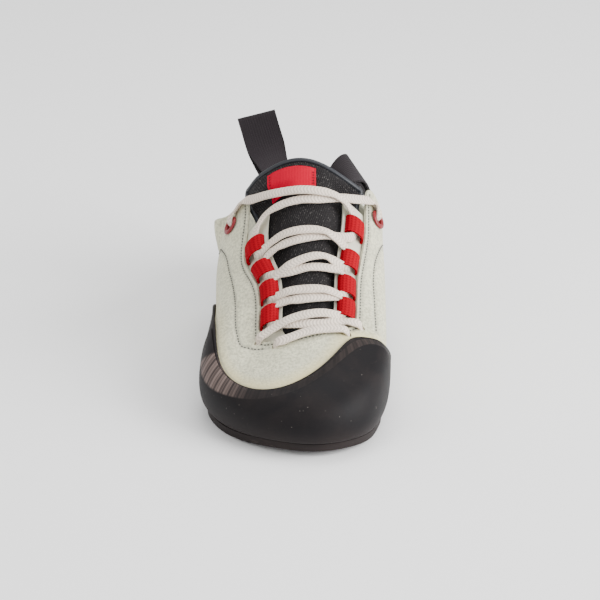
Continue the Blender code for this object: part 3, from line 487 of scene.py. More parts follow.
class ShoeSizes(bpy.types.PropertyGroup):
    """Sizes of the soft parts and the stitching."""

    lace_width: length_setting("Lace width", "Width of the flat lace", 0.0052)
    lace_thickness: length_setting("Lace thickness", "Thickness of the flat lace", 0.0016)
    stitch_length: length_setting("Stitch length", "Length of one visible stitch", 0.0013)
    stitch_pitch: length_setting("Stitch pitch", "Distance from stitch to stitch", 0.0020)
    thread: length_setting("Thread", "Radius of the sewing thread", 0.00036)


class ShoeColours(bpy.types.PropertyGroup):
    """Colours of the materials."""

    rubber: colour_setting("Rubber", "Black climbing rubber", (0.0056, 0.0049, 0.0057))
    leather: colour_setting("Leather", "Pale suede", (0.66, 0.645, 0.47))
    leather_tan: colour_setting("Leather by the rubber", "Suede yellowed by glue", (0.66, 0.58, 0.30))
    facing: colour_setting("Facing", "Pale facing under the loops", (0.66, 0.64, 0.52))
    textile: colour_setting("Tongue textile", "Black knit", (0.0060, 0.0052, 0.0055))
    binding: colour_setting("Binding", "Blue-black edge binding", (0.0095, 0.0115, 0.0170))
    tape: colour_setting("Red tape", "Red webbing", (0.30, 0.0002, 0.0080))
    enamel: colour_setting("Red enamel", "Red eyelets", (0.20, 0.0002, 0.0040))
    lace: colour_setting("Lace", "Pinkish off-white lace", (0.80, 0.69, 0.58))
    webbing: colour_setting("Webbing", "Black pull loops", (0.019, 0.0155, 0.0175))
    label: colour_setting("Label", "Red label cloth", (0.48, 0.0004, 0.0230))
    # Grey thread, made dark so that it also carries painted shade of the stitch holes.
    thread: colour_setting("Thread", "Grey sewing thread", (0.10, 0.10, 0.092))
    board: colour_setting("Insole", "Covered insole board", (0.30, 0.29, 0.27))


class StudioSettings(bpy.types.PropertyGroup):
    """The floor, the light and the camera."""

    key_power: power_setting("Key light", "Power of the large light from the right", 66.0)
    fill_power: power_setting("Fill light", "Power of the light from the left", 5.0)
    top_power: power_setting("Top light", "Power of the light overhead", 12.0)
    surround: FloatProperty(
        name="Surround", description="Strength of the even white light", default=1.0, min=0.0
    )


def sizes():
    return bpy.context.scene.shoe_sizes


def colours():
    return bpy.context.scene.shoe_colours


def studio():
    return bpy.context.scene.shoe_studio


class Signal:
    """A value in a finish's node tree. Python's own operators on it add Math nodes."""

    def __init__(self, finish, socket):
        self.finish = finish
        self.socket = socket

    def maths(self, operation, *values):
        return self.finish.node("ShaderNodeMath", {"operation": operation}, dict(enumerate(values)))

    def __add__(self, other):
        return self.maths("ADD", self, other)

    def __sub__(self, other):
        return self.maths("SUBTRACT", self, other)

    def __mul__(self, other):
        return self.maths("MULTIPLY", self, other)

    def __rsub__(self, other):
        return self.maths("SUBTRACT", other, self)

    __radd__ = __add__
    __rmul__ = __mul__

    def sine(self):
        return self.maths("SINE", self)

    def ramp(self, low, high):
        """0 below low and 1 above high, straight between."""
        settings = {"interpolation_type": "SMOOTHSTEP", "clamp": True}
        return self.finish.node("ShaderNodeMapRange", settings, {"Value": self, 1: low, 2: high})


class Finish:
    """One material: its node tree and its Principled shader."""

    def __init__(self, name, roughness, specular=0.5, coat=0.0, sheen=0.0):
        self.material = bpy.data.materials.new(name)
        self.material.use_nodes = True
        self.tree = self.material.node_tree
        self.shader = self.tree.nodes["Principled BSDF"]
        constants = {
            "Roughness": roughness,
            "Specular IOR Level": specular,
            "Coat Weight": coat,
            "Coat Roughness": 0.2,
            "Sheen Weight": sheen,
            "Sheen Roughness": 0.5,
        }
        for socket, value in constants.items():
            self.connect(self.shader.inputs[socket], value)

    def connect(self, socket, value):
        if isinstance(value, Signal):
            self.tree.links.new(value.socket, socket)
        elif hasattr(value, "__len__"):
            width = len(socket.default_value)
            socket.default_value = (tuple(value) + (1.0,))[:width]
        else:
            socket.default_value = value

    def node(self, kind, settings, values, output=0):
        """A node of any type, with its settings set first and then the values or links of its sockets."""
        made = self.tree.nodes.new(kind)
        for name, value in settings.items():
            setattr(made, name, value)
        for name, value in values.items():
            self.connect(made.inputs[name], value)
        return Signal(self, made.outputs[output])

    def place(self, stretch=(1.0, 1.0, 1.0)):
        """Object coordinates, in metres, stretched along each axis."""
        where = self.node("ShaderNodeTexCoord", {}, {}, "Object")
        return self.node("ShaderNodeMapping", {}, {"Vector": where, "Scale": stretch})

    def weave_place(self):
        """The piece's own map, in metres, as two signals."""
        where = self.node("ShaderNodeUVMap", {"uv_map": "UVMap"}, {})
        split = self.tree.nodes.new("ShaderNodeSeparateXYZ")
        self.connect(split.inputs[0], where)
        return Signal(self, split.outputs[0]), Signal(self, split.outputs[1])

    def noise(self, scale, detail=4.0, roughness=0.55, stretch=(1.0, 1.0, 1.0), distortion=0.0):
        values = {
            "Vector": self.place(stretch),
            "Scale": scale,
            "Detail": detail,
            "Roughness": roughness,
            "Distortion": distortion,
        }
        return self.node("ShaderNodeTexNoise", {}, values)

    def cells(self, scale, stretch=(1.0, 1.0, 1.0)):
        """Distance to the nearest of scattered points."""
        values = {"Vector": self.place(stretch), "Scale": scale}
        return self.node("ShaderNodeTexVoronoi", {}, values, "Distance")

    def attribute(self, name):
        return self.node("ShaderNodeAttribute", {"attribute_name": name}, {}, "Fac")

    def mix(self, share, first, second, blend="MIX"):
        """A colour between two colours."""
        settings = {"data_type": "RGBA", "blend_type": blend, "clamp_factor": True}
        return self.node("ShaderNodeMix", settings, {0: share, 6: first, 7: second}, 2)

    def colour(self, value):
        self.connect(self.shader.inputs["Base Color"], value)

    def rough(self, value):
        self.connect(self.shader.inputs["Roughness"], value)

    def relief(self, height, depth, strength=1.0):
        """Bump from a height signal, where one unit of it is depth metres."""
        values = {"Height": height, "Distance": depth, "Strength": strength}
        self.connect(self.shader.inputs["Normal"], self.node("ShaderNodeBump", {}, values))


def suede_finish():
    """Pale suede: short nap, soft blotches, pressed grain, and glue stain beside the rubber."""
    made = Finish("pale_suede", 0.88, specular=0.2, sheen=0.12)
    nap = made.noise(2600.0, 5.0, 0.7)
    grain = made.noise(720.0, 3.0, 0.6)
    blotches = made.noise(95.0, 3.0, 0.55, distortion=0.4)
    pale = made.mix(blotches.ramp(0.30, 0.72), made_darker(colours().leather, 0.88), colours().leather)
    pale = made.mix(grain.ramp(0.34, 0.62), made_darker(colours().leather, 0.64), pale)
    stained = made.mix(made.attribute("glue_stain") * (blotches + 0.35), pale, colours().leather_tan)
    # Darkens towards grey by the upper's grime reading: real grime at the rubber's edge, and painted shade
    # in the seam troughs, between the plies of the turned edge and on the inner face.
    grimed_and_shaded = made.mix(made.attribute("grime"), stained, (0.25, 0.25, 0.22))
    specks = made.noise(1100.0, 1.0, 0.5).ramp(0.71, 0.75)
    made.colour(made.mix(specks * 0.5, grimed_and_shaded, made_darker(colours().leather, 0.25)))
    made.relief(nap * 0.5 + grain * 0.8 + blotches * 1.2, 0.0004, 0.7)
    return made.material


def made_darker(colour, share):
    return tuple(share * value for value in colour)


def rubber_finish():
    """Black rubber: a dull bloom, faint scuffs and dust, and grinding marks on the bevel."""
    made = Finish("climbing_rubber", 0.5, specular=0.12)
    bloom = made.noise(38.0, 5.0, 0.6, distortion=0.6)
    fine = made.noise(1400.0, 4.0, 0.65)
    scuffs = made.noise(70.0, 6.0, 0.72, stretch=(1.0, 1.0, 6.0), distortion=0.3)
    dust = made.noise(800.0, 1.0, 0.4).ramp(0.775, 0.81)
    black = colours().rubber
    brown = (0.036, 0.027, 0.025)
    base = made.mix(bloom.ramp(0.35, 0.75) * 0.4, black, made_darker(brown, 0.62))
    low = made.attribute("low_edge")
    base = made.mix(low * 0.40, base, brown)
    scuffed = made.mix(scuffs.ramp(0.60, 0.80) * (low * 0.7 + 0.12), base, (0.075, 0.060, 0.055))
    scuffed = made.mix(dust * 0.30, scuffed, (0.30, 0.27, 0.24))
    ground = made.attribute("ground")
    marks = made.attribute("streaks")
    scuffed = made.mix(ground * (marks * 0.82 + 0.10), scuffed, (0.190, 0.140, 0.125))
    made.colour(scuffed)
    made.rough(0.46 + bloom * 0.18 + fine * 0.06)
    made.relief(fine * 0.35 + bloom * 1.0 + ground * marks * 0.8, 0.00022, 0.5)
    return made.material


def tape_finish(name, colour, rib, across, contrast=0.35, sheen=0.0, roughness=0.75):
    """Woven tape. rib is the width of a lengthwise rib and across that of a pick, in metres."""
    made = Finish(name, roughness, specular=0.05, sheen=sheen)
    u, v = made.weave_place()
    ribs = (u * (math.tau / rib)).sine() * 0.5 + 0.5
    slant = (v * (math.tau / across) + (u * (math.tau / rib)).sine() * 1.4).sine() * 0.5 + 0.5
    fuzz = made.noise(1500.0, 3.0, 0.6)
    height = ribs * 0.55 + slant * 0.35 + fuzz * 0.7
    shade = (ribs * 0.35 + slant * 0.35 + fuzz * 0.6).ramp(0.25, 0.95)
    wear = made.noise(140.0, 3.0)
    light = made.mix(wear.ramp(0.35, 0.7) * 0.25, colour, tuple(min(1.0, value * 1.25) for value in colour))
    made.colour(made.mix(shade * contrast + (1.0 - contrast), made_darker(colour, 0.55), light))
    made.relief(height, 0.00022, 0.7)
    return made.material


def lace_finish():
    """Flat braided lace: fine herringbone ribs along it."""
    made = Finish("flat_lace", 0.85, specular=0.2, sheen=0.08)
    u, v = made.weave_place()
    rib = 0.0028
    pick = 0.0018
    lanes = (u * (math.tau / rib)).sine()
    braid = (v * (math.tau / pick) + lanes * 1.9).sine() * 0.5 + 0.5
    fuzz = made.noise(2400.0, 4.0, 0.65)
    soil = made.noise(120.0, 4.0, 0.6)
    pale = colours().lace
    tone = made.mix(soil.ramp(0.30, 0.75), made_darker(pale, 0.86), pale)
    made.colour(made.mix(braid.ramp(0.0, 0.70) * 0.65 + 0.35, made_darker(pale, 0.52), tone))
    made.relief(braid * 0.7 + lanes * 0.45 + fuzz * 0.5, 0.00028, 0.9)
    return made.material


def knit_finish():
    """Black knit with bright fibre specks."""
    made = Finish("black_knit", 0.80, specular=0.12, sheen=0.02)
    u, v = made.weave_place()
    rib = 0.0011
    row = 0.0008
    wale = (u * (math.tau / rib) + v * (math.tau / 0.0042)).sine() * 0.5 + 0.5
    course = (v * (math.tau / row) + (u * (math.tau / rib)).sine()).sine() * 0.5 + 0.5
    fuzz = made.noise(2600.0, 3.0, 0.7)
    black = colours().textile
    specks = 1.0 - made.cells(1150.0, stretch=(1.0, 0.55, 0.55)).ramp(0.12, 0.34)
    patches = made.noise(600.0, 2.0).ramp(0.34, 0.60)
    tone = made.mix(wale * course, black, (0.034, 0.031, 0.032))
    made.colour(made.mix(specks * patches * 0.42, tone, (0.19, 0.18, 0.17)))
    made.relief(wale * 0.5 + course * 0.5 + fuzz * 0.6, 0.00035, 0.8)
    return made.material


def plain_finish(name, colour, roughness, grain_scale, depth, coat=0.0, specular=0.4, sheen=0.0):
    """A fine-grained finish with a slight change of tone."""
    made = Finish(name, roughness, specular=specular, coat=coat, sheen=sheen)
    grain = made.noise(grain_scale, 5.0, 0.6)
    tone = made.noise(grain_scale * 0.06, 3.0)
    made.colour(made.mix(tone.ramp(0.3, 0.7) * 0.6 + grain * 0.4, made_darker(colour, 0.80), colour))
    made.rough(roughness - 0.05 + grain * 0.10)
    made.relief(grain, depth, 0.6)
    return made.material


FINISHES = {}


def finish(name):
    """Each material is made once, when a piece first asks for it."""
    shades = colours()
    makers = {
        "suede": suede_finish,
        "rubber": rubber_finish,
        "knit": knit_finish,
        "lace": lace_finish,
        "red_tape": lambda: tape_finish("red_loop_tape", shades.tape, 0.0018, 0.0017, contrast=0.8),
        "red_label": lambda: tape_finish("red_label_cloth", shades.label, 0.0008, 0.0008, contrast=0.35),
        "webbing": lambda: tape_finish(
            "black_pull_webbing", shades.webbing, 0.0009, 0.0012, contrast=0.55, sheen=0.06, roughness=0.62
        ),
        "facing": lambda: plain_finish("pale_facing_cloth", shades.facing, 0.82, 1800.0, 0.00018),
        "binding": lambda: plain_finish("edge_binding", shades.binding, 0.50, 1600.0, 0.00008, specular=0.5),
        "enamel": lambda: plain_finish("red_eyelet_enamel", shades.enamel, 0.40, 700.0, 0.00003, coat=0.15),
        # The seam stitches: grey thread, darkened to carry painted shade of the stitch holes.
        "thread": lambda: plain_finish("grey_thread", shades.thread, 0.85, 3000.0, 0.00005),
        "dark_thread": lambda: plain_finish("dark_thread", (0.05, 0.008, 0.010), 0.85, 3000.0, 0.00005),
        "board": lambda: plain_finish("insole_cloth", shades.board, 0.92, 1300.0, 0.00025),
    }
    if name not in FINISHES:
        FINISHES[name] = makers[name]()
    return FINISHES[name]


def deselect_all():
    if bpy.context.object and bpy.context.object.mode != "OBJECT":
        bpy.ops.object.mode_set(mode="OBJECT")
    bpy.ops.object.select_all(action="DESELECT")


def select_only(*pieces):
    """Selects these pieces alone, and makes the first one active."""
    deselect_all()
    for piece in pieces:
        piece.select_set(True)
    bpy.context.view_layer.objects.active = pieces[0]


def joined(pieces):
    """The pieces as one mesh, in the first one's object."""
    select_only(*pieces)
    bpy.ops.object.join()
    return pieces[0]


def set_points(mesh, points):
    mesh.vertices.foreach_set("co", np.ascontiguousarray(points, np.float32).ravel())
    mesh.update()


def get_points(mesh):
    points = np.empty(len(mesh.vertices) * 3, np.float32)
    mesh.vertices.foreach_get("co", points)
    return points.reshape(-1, 3).astype(float)


def close_up(piece, fill=True):
    """Merges the doubled points, fills any open end and turns all faces outwards."""
    select_only(piece)
    bpy.ops.object.mode_set(mode="EDIT")
    bpy.ops.mesh.select_all(action="SELECT")
    bpy.ops.mesh.remove_doubles(threshold=DOUBLES_WITHIN)
    if fill:
        bpy.ops.mesh.fill_holes(sides=0)
    bpy.ops.mesh.select_all(action="SELECT")
    bpy.ops.mesh.normals_make_consistent(inside=False)
    bpy.ops.object.mode_set(mode="OBJECT")


def shaped_grid(name, columns, rows, place, size=(1.0, 1.0), attributes=None, closed=True, fill=True):
    """A primitive grid laid over a surface. place turns its shares across and up into points of the last,
    and size is how far its map runs each way, in metres."""
    deselect_all()
    bpy.ops.mesh.primitive_grid_add(x_subdivisions=columns, y_subdivisions=rows, size=1.0)
    piece = bpy.context.object
    piece.name = name
    piece.data.name = name
    shares = np.round(get_points(piece.data)[:, :2] + 0.5, 6)
    across, up = shares[:, 0], shares[:, 1]
    points = place(across, up)
    set_points(piece.data, points + ORIGIN)
    for attribute, reading in (attributes or {}).items():
        values = reading(across, up, points)
        held = piece.data.attributes.new(attribute, "FLOAT", "POINT")
        held.data.foreach_set("value", np.ascontiguousarray(values, np.float32))
    layer_map = piece.data.uv_layers.active.data
    flat = np.empty(len(layer_map) * 2, np.float32)
    layer_map.foreach_get("uv", flat)
    flat = flat.reshape(-1, 2) * np.array(size, np.float32)
    layer_map.foreach_set("uv", flat.ravel())
    if closed:
        close_up(piece, fill)
    return piece


def dress(piece, finish_name, slot_name, *nodes, angle=50.0):
    """Gives a finished piece its material, its shading, its body and the solids that it stands for. Edges
    sharper than angle, in degrees, stay sharp."""
    piece.data.materials.clear()
    piece.data.materials.append(finish(finish_name))
    select_only(piece)
    bpy.ops.object.shade_smooth_by_angle(angle=math.radians(angle))
    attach(piece, "root")
    if nodes:
        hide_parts(*nodes)


def running_length(path):
    """The distance of each point of a path from its start."""
    return np.concatenate([[0.0], np.cumsum(np.linalg.norm(np.diff(path, axis=0), axis=1))])


def even_curve(points, spacing):
    """A smooth curve through points, cut at even steps of about spacing. Columns past the third, such as a
    facing, are carried along."""
    points = np.asarray(points, float)
    gaps = np.maximum(np.linalg.norm(np.diff(points[:, :3], axis=0), axis=1), 1e-6) ** 0.5
    slopes = np.diff(points, axis=0) / gaps[:, None]
    tangents = np.empty_like(points)
    tangents[0], tangents[-1] = slopes[0], slopes[-1]
    before, after = gaps[:-1, None], gaps[1:, None]
    tangents[1:-1] = (slopes[:-1] * after + slopes[1:] * before) / (before + after)
    fine = []
    for number in range(len(points) - 1):
        share = np.linspace(0.0, 1.0, 24, endpoint=number == len(points) - 2)[:, None]
        width = gaps[number]
        fine.append(
            (2 * share**3 - 3 * share**2 + 1) * points[number]
            + (share**3 - 2 * share**2 + share) * width * tangents[number]
            + (3 * share**2 - 2 * share**3) * points[number + 1]
            + (share**3 - share**2) * width * tangents[number + 1]
        )
    fine = np.concatenate(fine)
    run = running_length(fine[:, :3])
    steps = max(2, int(round(run[-1] / spacing)))
    places = np.linspace(0.0, run[-1], steps + 1)
    return np.stack([np.interp(places, run, fine[:, axis]) for axis in range(fine.shape[1])], -1)


def frames_along(path, facing):
    along = unit(np.gradient(path, axis=0))
    across = unit(np.cross(along, facing))
    return along, across, np.cross(across, along)


def ribbon(name, path, facing, width, thickness, around=16, square=0.45):
    """A flat band along a path, with rounded edges. facing is the way that its broad face looks."""
    _, across, out = frames_along(path, facing)
    length = running_length(path)[-1]

    def place(round_it, up):
        number = np.round(up * (len(path) - 1)).astype(int)
        angle = round_it * math.tau
        wide = np.sign(np.cos(angle)) * np.abs(np.cos(angle)) ** square * width / 2
        thick = np.sign(np.sin(angle)) * np.abs(np.sin(angle)) ** 0.75 * thickness / 2
        return path[number] + across[number] * wide[:, None] + out[number] * thick[:, None]

    return shaped_grid(name, around, len(path) - 1, place, (2 * (width + thickness), length))


def thick_sheet(name, columns, rows, outer, inner, size):
    """A closed sheet between two faces with rounded edges. outer and inner take shares across and up."""
    edge = 4
    total = 2 * rows + 2 * edge

    def place(across, up):
        step = np.round(up * total).astype(int)
        on_outer = step <= rows
        on_top = (step > rows) & (step < rows + edge)
        on_inner = (step >= rows + edge) & (step <= 2 * rows + edge)
        rise = np.where(on_outer, step / rows, np.where(on_inner, (2 * rows + edge - step) / rows, 0.0))
        rise = np.where(on_top, 1.0, rise)
        face = np.where(on_outer, 0.0, np.where(on_inner, 1.0, 0.0))
        face = np.where(on_top, (step - rows) / edge, face)
        on_bottom = step > 2 * rows + edge
        face = np.where(on_bottom, 1.0 - (step - 2 * rows - edge) / edge, face)
        first, second = outer(across, rise), inner(across, rise)
        return first * (1 - face[:, None]) + second * face[:, None]

    return shaped_grid(name, columns, total, place, size)


# The seams on the leather, as turns and levels.
SEAMS = {
    "lateral_quarter": (
        (15.80, 1.50), (15.30, 1.50), (14.80, 1.53), (14.30, 1.65), (13.79, 1.74), (13.40, 1.73),
        (13.00, 1.70), (12.53, 1.67), (12.17, 1.675), (11.74, 1.71), (11.32, 1.82), (10.90, 1.88),
        (10.48, 1.91),
    ),
    "medial_quarter": (
        (4.40, 1.55), (4.91, 1.72), (5.27, 1.79), (5.65, 1.78), (6.06, 1.70), (6.35, 1.655), (6.61, 1.60),
    ),
}
THROAT_SEAM_IN = 0.0024
SEAM_STEP = 0.0005
SEAM_TROUGH = 0.0005
SEAM_REACH = 0.0013
# How far the painted shade in the trough beside a seam spreads.
SEAM_SHADE_REACH = 0.0011
EDGE_GROOVE = 0.22

# The glue stain and the grime above the rubber. How far they rise is in levels.
STAINED_TURNS = (6.0, 7.5, 10.5, 13.0)
STAIN_RISES = 0.16
RIM_GRIME_RISES = 0.012


def seam_at(turns, levels):
    """Even steps along a seam, each a point with its turn and level."""
    points = layer(turns, levels, 0.0)
    return even_curve(np.column_stack([points, turns, levels]), SEAM_STEP)


def level_below_top(turns, distance):
    """The level that lies a distance below the topline."""
    high = surface(turns, 1.99)
    length = np.linalg.norm(surface(turns, 2.0) - high, axis=-1) / 0.01
    return 2.0 - distance / length


def throat_seam():
    """The seam beside the throat's edge, from flap to flap round the throat's toe end."""
    turns = np.linspace(RIB_INDEX["waist_medial"] + 0.10, RIB_INDEX["waist_lateral"] - 0.10, 260)
    return seam_at(turns, level_below_top(turns, THROAT_SEAM_IN))


def all_seams():
    return [seam_at(*np.array(places).T) for places in SEAMS.values()] + [throat_seam()]


def distance_to(lines, points):
    """Distance of each point to the nearest of some lines of points."""
    places = np.concatenate([line[:, :3] for line in lines])
    tree = KDTree(len(places))
    for index, place in enumerate(places):
        tree.insert(place, index)
    tree.balance()
    return np.array([tree.find(point)[2] for point in points])


class SHOE_OT_upper(bpy.types.Operator):
    """The suede upper: one hollow wall with a turned edge and soft troughs along its seams"""

    bl_idname = "shoe.upper"
    bl_label = "Upper"

    def execute(self, context):
        columns, low_rows, high_rows, edge_rows, inner_rows = 640, 16, 76, 8, 26
        outer_rows = low_rows + high_rows
        total = outer_rows + edge_rows + inner_rows + 1
        half = UPPER_WALL / 2
        seams = all_seams()

        def reading(across, up):
            turns = across * len(RIBS)
            step = np.round(up * total)
            top = level_below_top(turns, half)
            low = step / low_rows
            high = 1.0 + (step - low_rows) / high_rows * (top - 1.0)
            levels = np.where(step <= low_rows, low, np.minimum(high, top))
            inner = top * (total - step) / (inner_rows + 1.0)
            levels = np.where(step > outer_rows + edge_rows, inner, levels)
            levels = np.where(step >= total - 1, 0.0, levels)
            angle = np.clip((step - outer_rows) / edge_rows, 0.0, 1.0) * math.pi
            levels = np.where(step == total, 0.0, levels)
            angle = np.where(step == total, 0.0, angle)
            return turns, levels, angle, step

        # The rows between the plies of the turned edge: a groove in the shape, and painted shade in the
        # colour.
        def between_plies(step):
            return np.where((step == outer_rows + 3) | (step == outer_rows + 6), 1.0, 0.0)

        def place(across, up):
            turns, levels, angle, step = reading(across, up)
            reach = half * (1.0 - EDGE_GROOVE * between_plies(step))
            middle = layer(turns, levels, -half + reach * np.cos(angle))
            rise = unit(surface(turns, 2.0) - surface(turns, 1.98)) * (reach * np.sin(angle))[:, None]
            points = middle + rise
            outside = (step > low_rows) & (step <= outer_rows)
            trough = np.zeros(len(points))
            trough[outside] = np.exp(-((distance_to(seams, points[outside]) / SEAM_REACH) ** 2))
            normal = surface_normal(turns, levels)
            return points - normal * (trough * SEAM_TROUGH)[:, None]

        def stain(across, up, points):
            turns, levels, angle, step = reading(across, up)
            above = levels - column("rand", turns)
            front = plateau(*STAINED_TURNS, turns)
            return np.clip(1.0 - above / STAIN_RISES, 0.0, 1.0) * (0.35 + 0.65 * front)

        # Real grime at the rubber's edge, plus painted shade: darker in the troughs beside the seams,
        # between the plies of the turned edge and over the inner face, where shade falls.
        def grime(across, up, points):
            turns, levels, angle, step = reading(across, up)
            outside = (step > low_rows) & (step <= outer_rows)
            # Painted shade along the seam troughs.
            seam_shade = np.zeros(len(points))
            seam_shade[outside] = np.exp(-((distance_to(seams, points[outside]) / SEAM_SHADE_REACH) ** 2))
            above = levels - column("rand", turns)
            rim = np.exp(-((above / RIM_GRIME_RISES) ** 2))
            # Painted shade over the inner face and the last rows of the turned edge.
            inside = np.where(step > outer_rows + edge_rows - 2, 0.45, 0.0)
            return np.clip(0.55 * seam_shade + 0.5 * rim + inside + 0.35 * between_plies(step), 0.0, 1.0)

        readings = {"glue_stain": stain, "grime": grime}
        piece = shaped_grid("suede_upper", columns, total, place, (0.64, 0.13), readings, fill=False)
        cut_holes(piece)
        dress(piece, "suede", "pale_leather", "upper")
        return {"FINISHED"}


def eyelet_place(side):
    """The middle of an eyelet, its axis, and how far the leather there rises above it."""
    middle = surface(EYELET_TURN[side], EYELET_LEVEL[side])
    turns, levels = np.meshgrid(
        EYELET_TURN[side] + np.linspace(-0.6, 0.6, 41), EYELET_LEVEL[side] + np.linspace(-0.2, 0.14, 41)
    )
    around = (surface(turns, levels) - middle).reshape(-1, 3)
    around = around[np.linalg.norm(around, axis=1) < EYELET_RADIUS]
    axis = unit(np.linalg.svd(around)[2][2])
    axis = axis * np.sign(np.dot(axis, surface_normal(EYELET_TURN[side], EYELET_LEVEL[side])))
    return middle, axis, (around @ axis).max()


def slit_way(name):
    """The middle of a slit in the leather, its outward direction and the way that it runs."""
    turn, level = HOLE_PLACES[name]
    middle = layer(turn, level, 0.0)
    out = surface_normal(turn, level)
    up = unit(surface(turn, level + 0.01) - surface(turn, level - 0.01))
    return middle, out, up


def round_cutter(vertices, radius, depth, turn, middle):
    """A closed cylinder at a place on the last, turned and stretched by a matrix."""
    deselect_all()
    bpy.ops.mesh.primitive_cylinder_add(vertices=vertices, radius=radius, depth=depth)
    cutter = bpy.context.object
    cutter.data.transform(Matrix.Translation(Vector(middle + ORIGIN)) @ turn)
    return cutter


def cut_holes(piece):
    """Cuts the two eyelet holes and the four slits through the leather."""
    cutters = []
    for side in (MEDIAL, LATERAL):
        middle, axis, _ = eyelet_place(side)
        turn = Vector(axis).to_track_quat("Z", "Y").to_matrix().to_4x4()
        cutters.append(round_cutter(40, EYELET_BORE + EYELET_TUBE + GAP, EYELET_CUT, turn, middle))
    for name in HOLE_PLACES:
        middle, out, up = slit_way(name)
        turn = Matrix((np.cross(up, out) * SLIT_NARROWS, up, out)).transposed().to_4x4()
        cutters.append(round_cutter(32, SLIT_HALF_LENGTH, SLIT_CUT, turn, middle))
    cutter = joined(cutters)
    close_up(cutter, fill=False)
    select_only(piece)
    holes = piece.modifiers.new("holes", "BOOLEAN")
    holes.operation = "DIFFERENCE"
    holes.solver = "EXACT"
    holes.object = cutter
    bpy.ops.object.modifier_apply(modifier="holes")
    bpy.data.objects.remove(cutter)


def rib_length(turns, level):
    """Distance along a rib from the feather edge to a level."""
    steps = 24
    shares = np.linspace(0.0, 1.0, steps + 1)[:, None]
    points = surface(turns[None, :], shares * level[None, :])
    return np.linalg.norm(np.diff(points, axis=0), axis=-1).sum(0)


class SHOE_OT_rubber(bpy.types.Operator):
    """The rubber: rand, toe cap with its ground bevel, and outsole"""

    bl_idname = "shoe.rubber"
    bl_label = "Rubber"

    def execute(self, context):
        self.build_rand()
        self.build_toe_cap()
        self.build_outsole()
        return {"FINISHED"}

    def readings(self, ground):
        """What the rubber's finish reads at each point."""
        return {"ground": ground, "streaks": streaks, "low_edge": low_edge}

    def build_rand(self):
        columns, outer_rows, edge_rows, inner_rows = 480, 40, 6, 12
        total = outer_rows + edge_rows + inner_rows + 1
        half = RAND_WALL / 2

        def reading(across, up):
            turns = across * len(RIBS)
            step = np.round(up * total)
            top = column("rand", turns)
            length = rib_length(turns, top)
            top = top * (1.0 - half / length)
            levels = np.minimum(step / outer_rows, 1.0) * top
            levels = np.where(step > outer_rows + edge_rows, top * (total - 1 - step) / inner_rows, levels)
            levels = np.where(step >= total - 1, 0.0, levels)
            angle = np.clip((step - outer_rows) / edge_rows, 0.0, 1.0) * math.pi
            angle = np.where(step == total, 0.0, angle)
            return turns, levels, angle, step

        def place(across, up):
            turns, levels, angle, step = reading(across, up)
            middle = layer(turns, levels, GAP + half + half * np.cos(angle))
            top = column("rand", turns)
            rise = unit(surface(turns, top + 0.01) - surface(turns, top - 0.01))
            return middle + rise * (half * np.sin(angle))[:, None]

        def ground(across, up, points):
            turns, levels, angle, step = reading(across, up)
            on_edge = (step > outer_rows - 3) & (angle < 2.0)
            return np.where(on_edge, 0.3 * pale_grinding(turns, levels), 0.0)

        piece = shaped_grid(
            "rubber_rand", columns, total, place, (0.66, 0.08), self.readings(ground), fill=False
        )
        dress(piece, "rubber", "black_rubber", "rand")

    def build_toe_cap(self):
        columns, outer_rows, bevel_rows, edge_rows, inner_rows = 420, 48, 10, 2, 14
        base = 2 * GAP + RAND_WALL
        total = outer_rows + bevel_rows + edge_rows + inner_rows + 1

        def reading(across, up):
            turns = CAP_FROM + across * (CAP_TO - CAP_FROM)
            step = np.round(up * total)
            top = column("rand", turns) * CAP_TOP_SHARE
            bend = top - CAP_BEVEL - CAP_BEVEL_WIDENS * smooth(*CAP_WIDENS_TURNS, turns)
            levels = np.minimum(step / outer_rows, 1.0) * bend
            on_bevel = np.clip((step - outer_rows) / bevel_rows, 0.0, 1.0)
            levels = levels + on_bevel * (top - bend)
            inward = np.clip((step - outer_rows - bevel_rows - edge_rows) / inner_rows, 0.0, 1.0)
            levels = levels * (1.0 - inward)
            full = CAP_EDGE + (CAP_WALL - CAP_EDGE) * cap_share(turns)
            depth = full + (CAP_EDGE - full) * on_bevel
            depth = depth * (1.0 - np.clip((step - outer_rows - bevel_rows) / edge_rows, 0.0, 1.0))
            levels = np.where(step == total, 0.0, levels)
            depth = np.where(step == total, full, depth)
            return turns, levels, depth, on_bevel, step

        def place(across, up):
            turns, levels, depth, _, _ = reading(across, up)
            return layer(turns, levels, base + depth)

        def ground(across, up, points):
            turns, levels, _, on_bevel, step = reading(across, up)
            on_face = (on_bevel > 0.0) & (step <= outer_rows + bevel_rows + 1)
            return np.where(on_face, pale_grinding(turns, levels), 0.0)

        piece = shaped_grid("rubber_toe_cap", columns, total, place, (0.36, 0.08), self.readings(ground))
        dress(piece, "rubber", "black_rubber", "toe_cap", angle=18.0)

    def build_outsole(self):
        piece = sole_plate(
            "rubber_outsole",
            lambda turns: GAP + RAND_WALL + cap_share(turns) * (GAP + CAP_WALL),
            seat,
            lambda x, y: seat(x, y) - SOLE_WALL,
            SOLE_CHAMFER,
        )
        dress(piece, "rubber", "black_rubber", "outsole", angle=35.0)


def pale_grinding(turns, levels):
    """How pale the grinding left the rubber: most over the small toes, up to a straight cut across the
    bevel, and a little over the big toe."""
    cut = smooth(0.0, 0.05, GROUND_CUT_TURN + GROUND_CUT_SLANT * (GROUND_CUT_LEVEL - levels) - turns)
    lateral = smooth(*GROUND_LATERAL_TURNS, turns) * cut
    medial = plateau(*GROUND_MEDIAL_TURNS, turns)
    return np.clip(0.04 + 0.96 * lateral + 0.12 * medial, 0.0, 1.0)


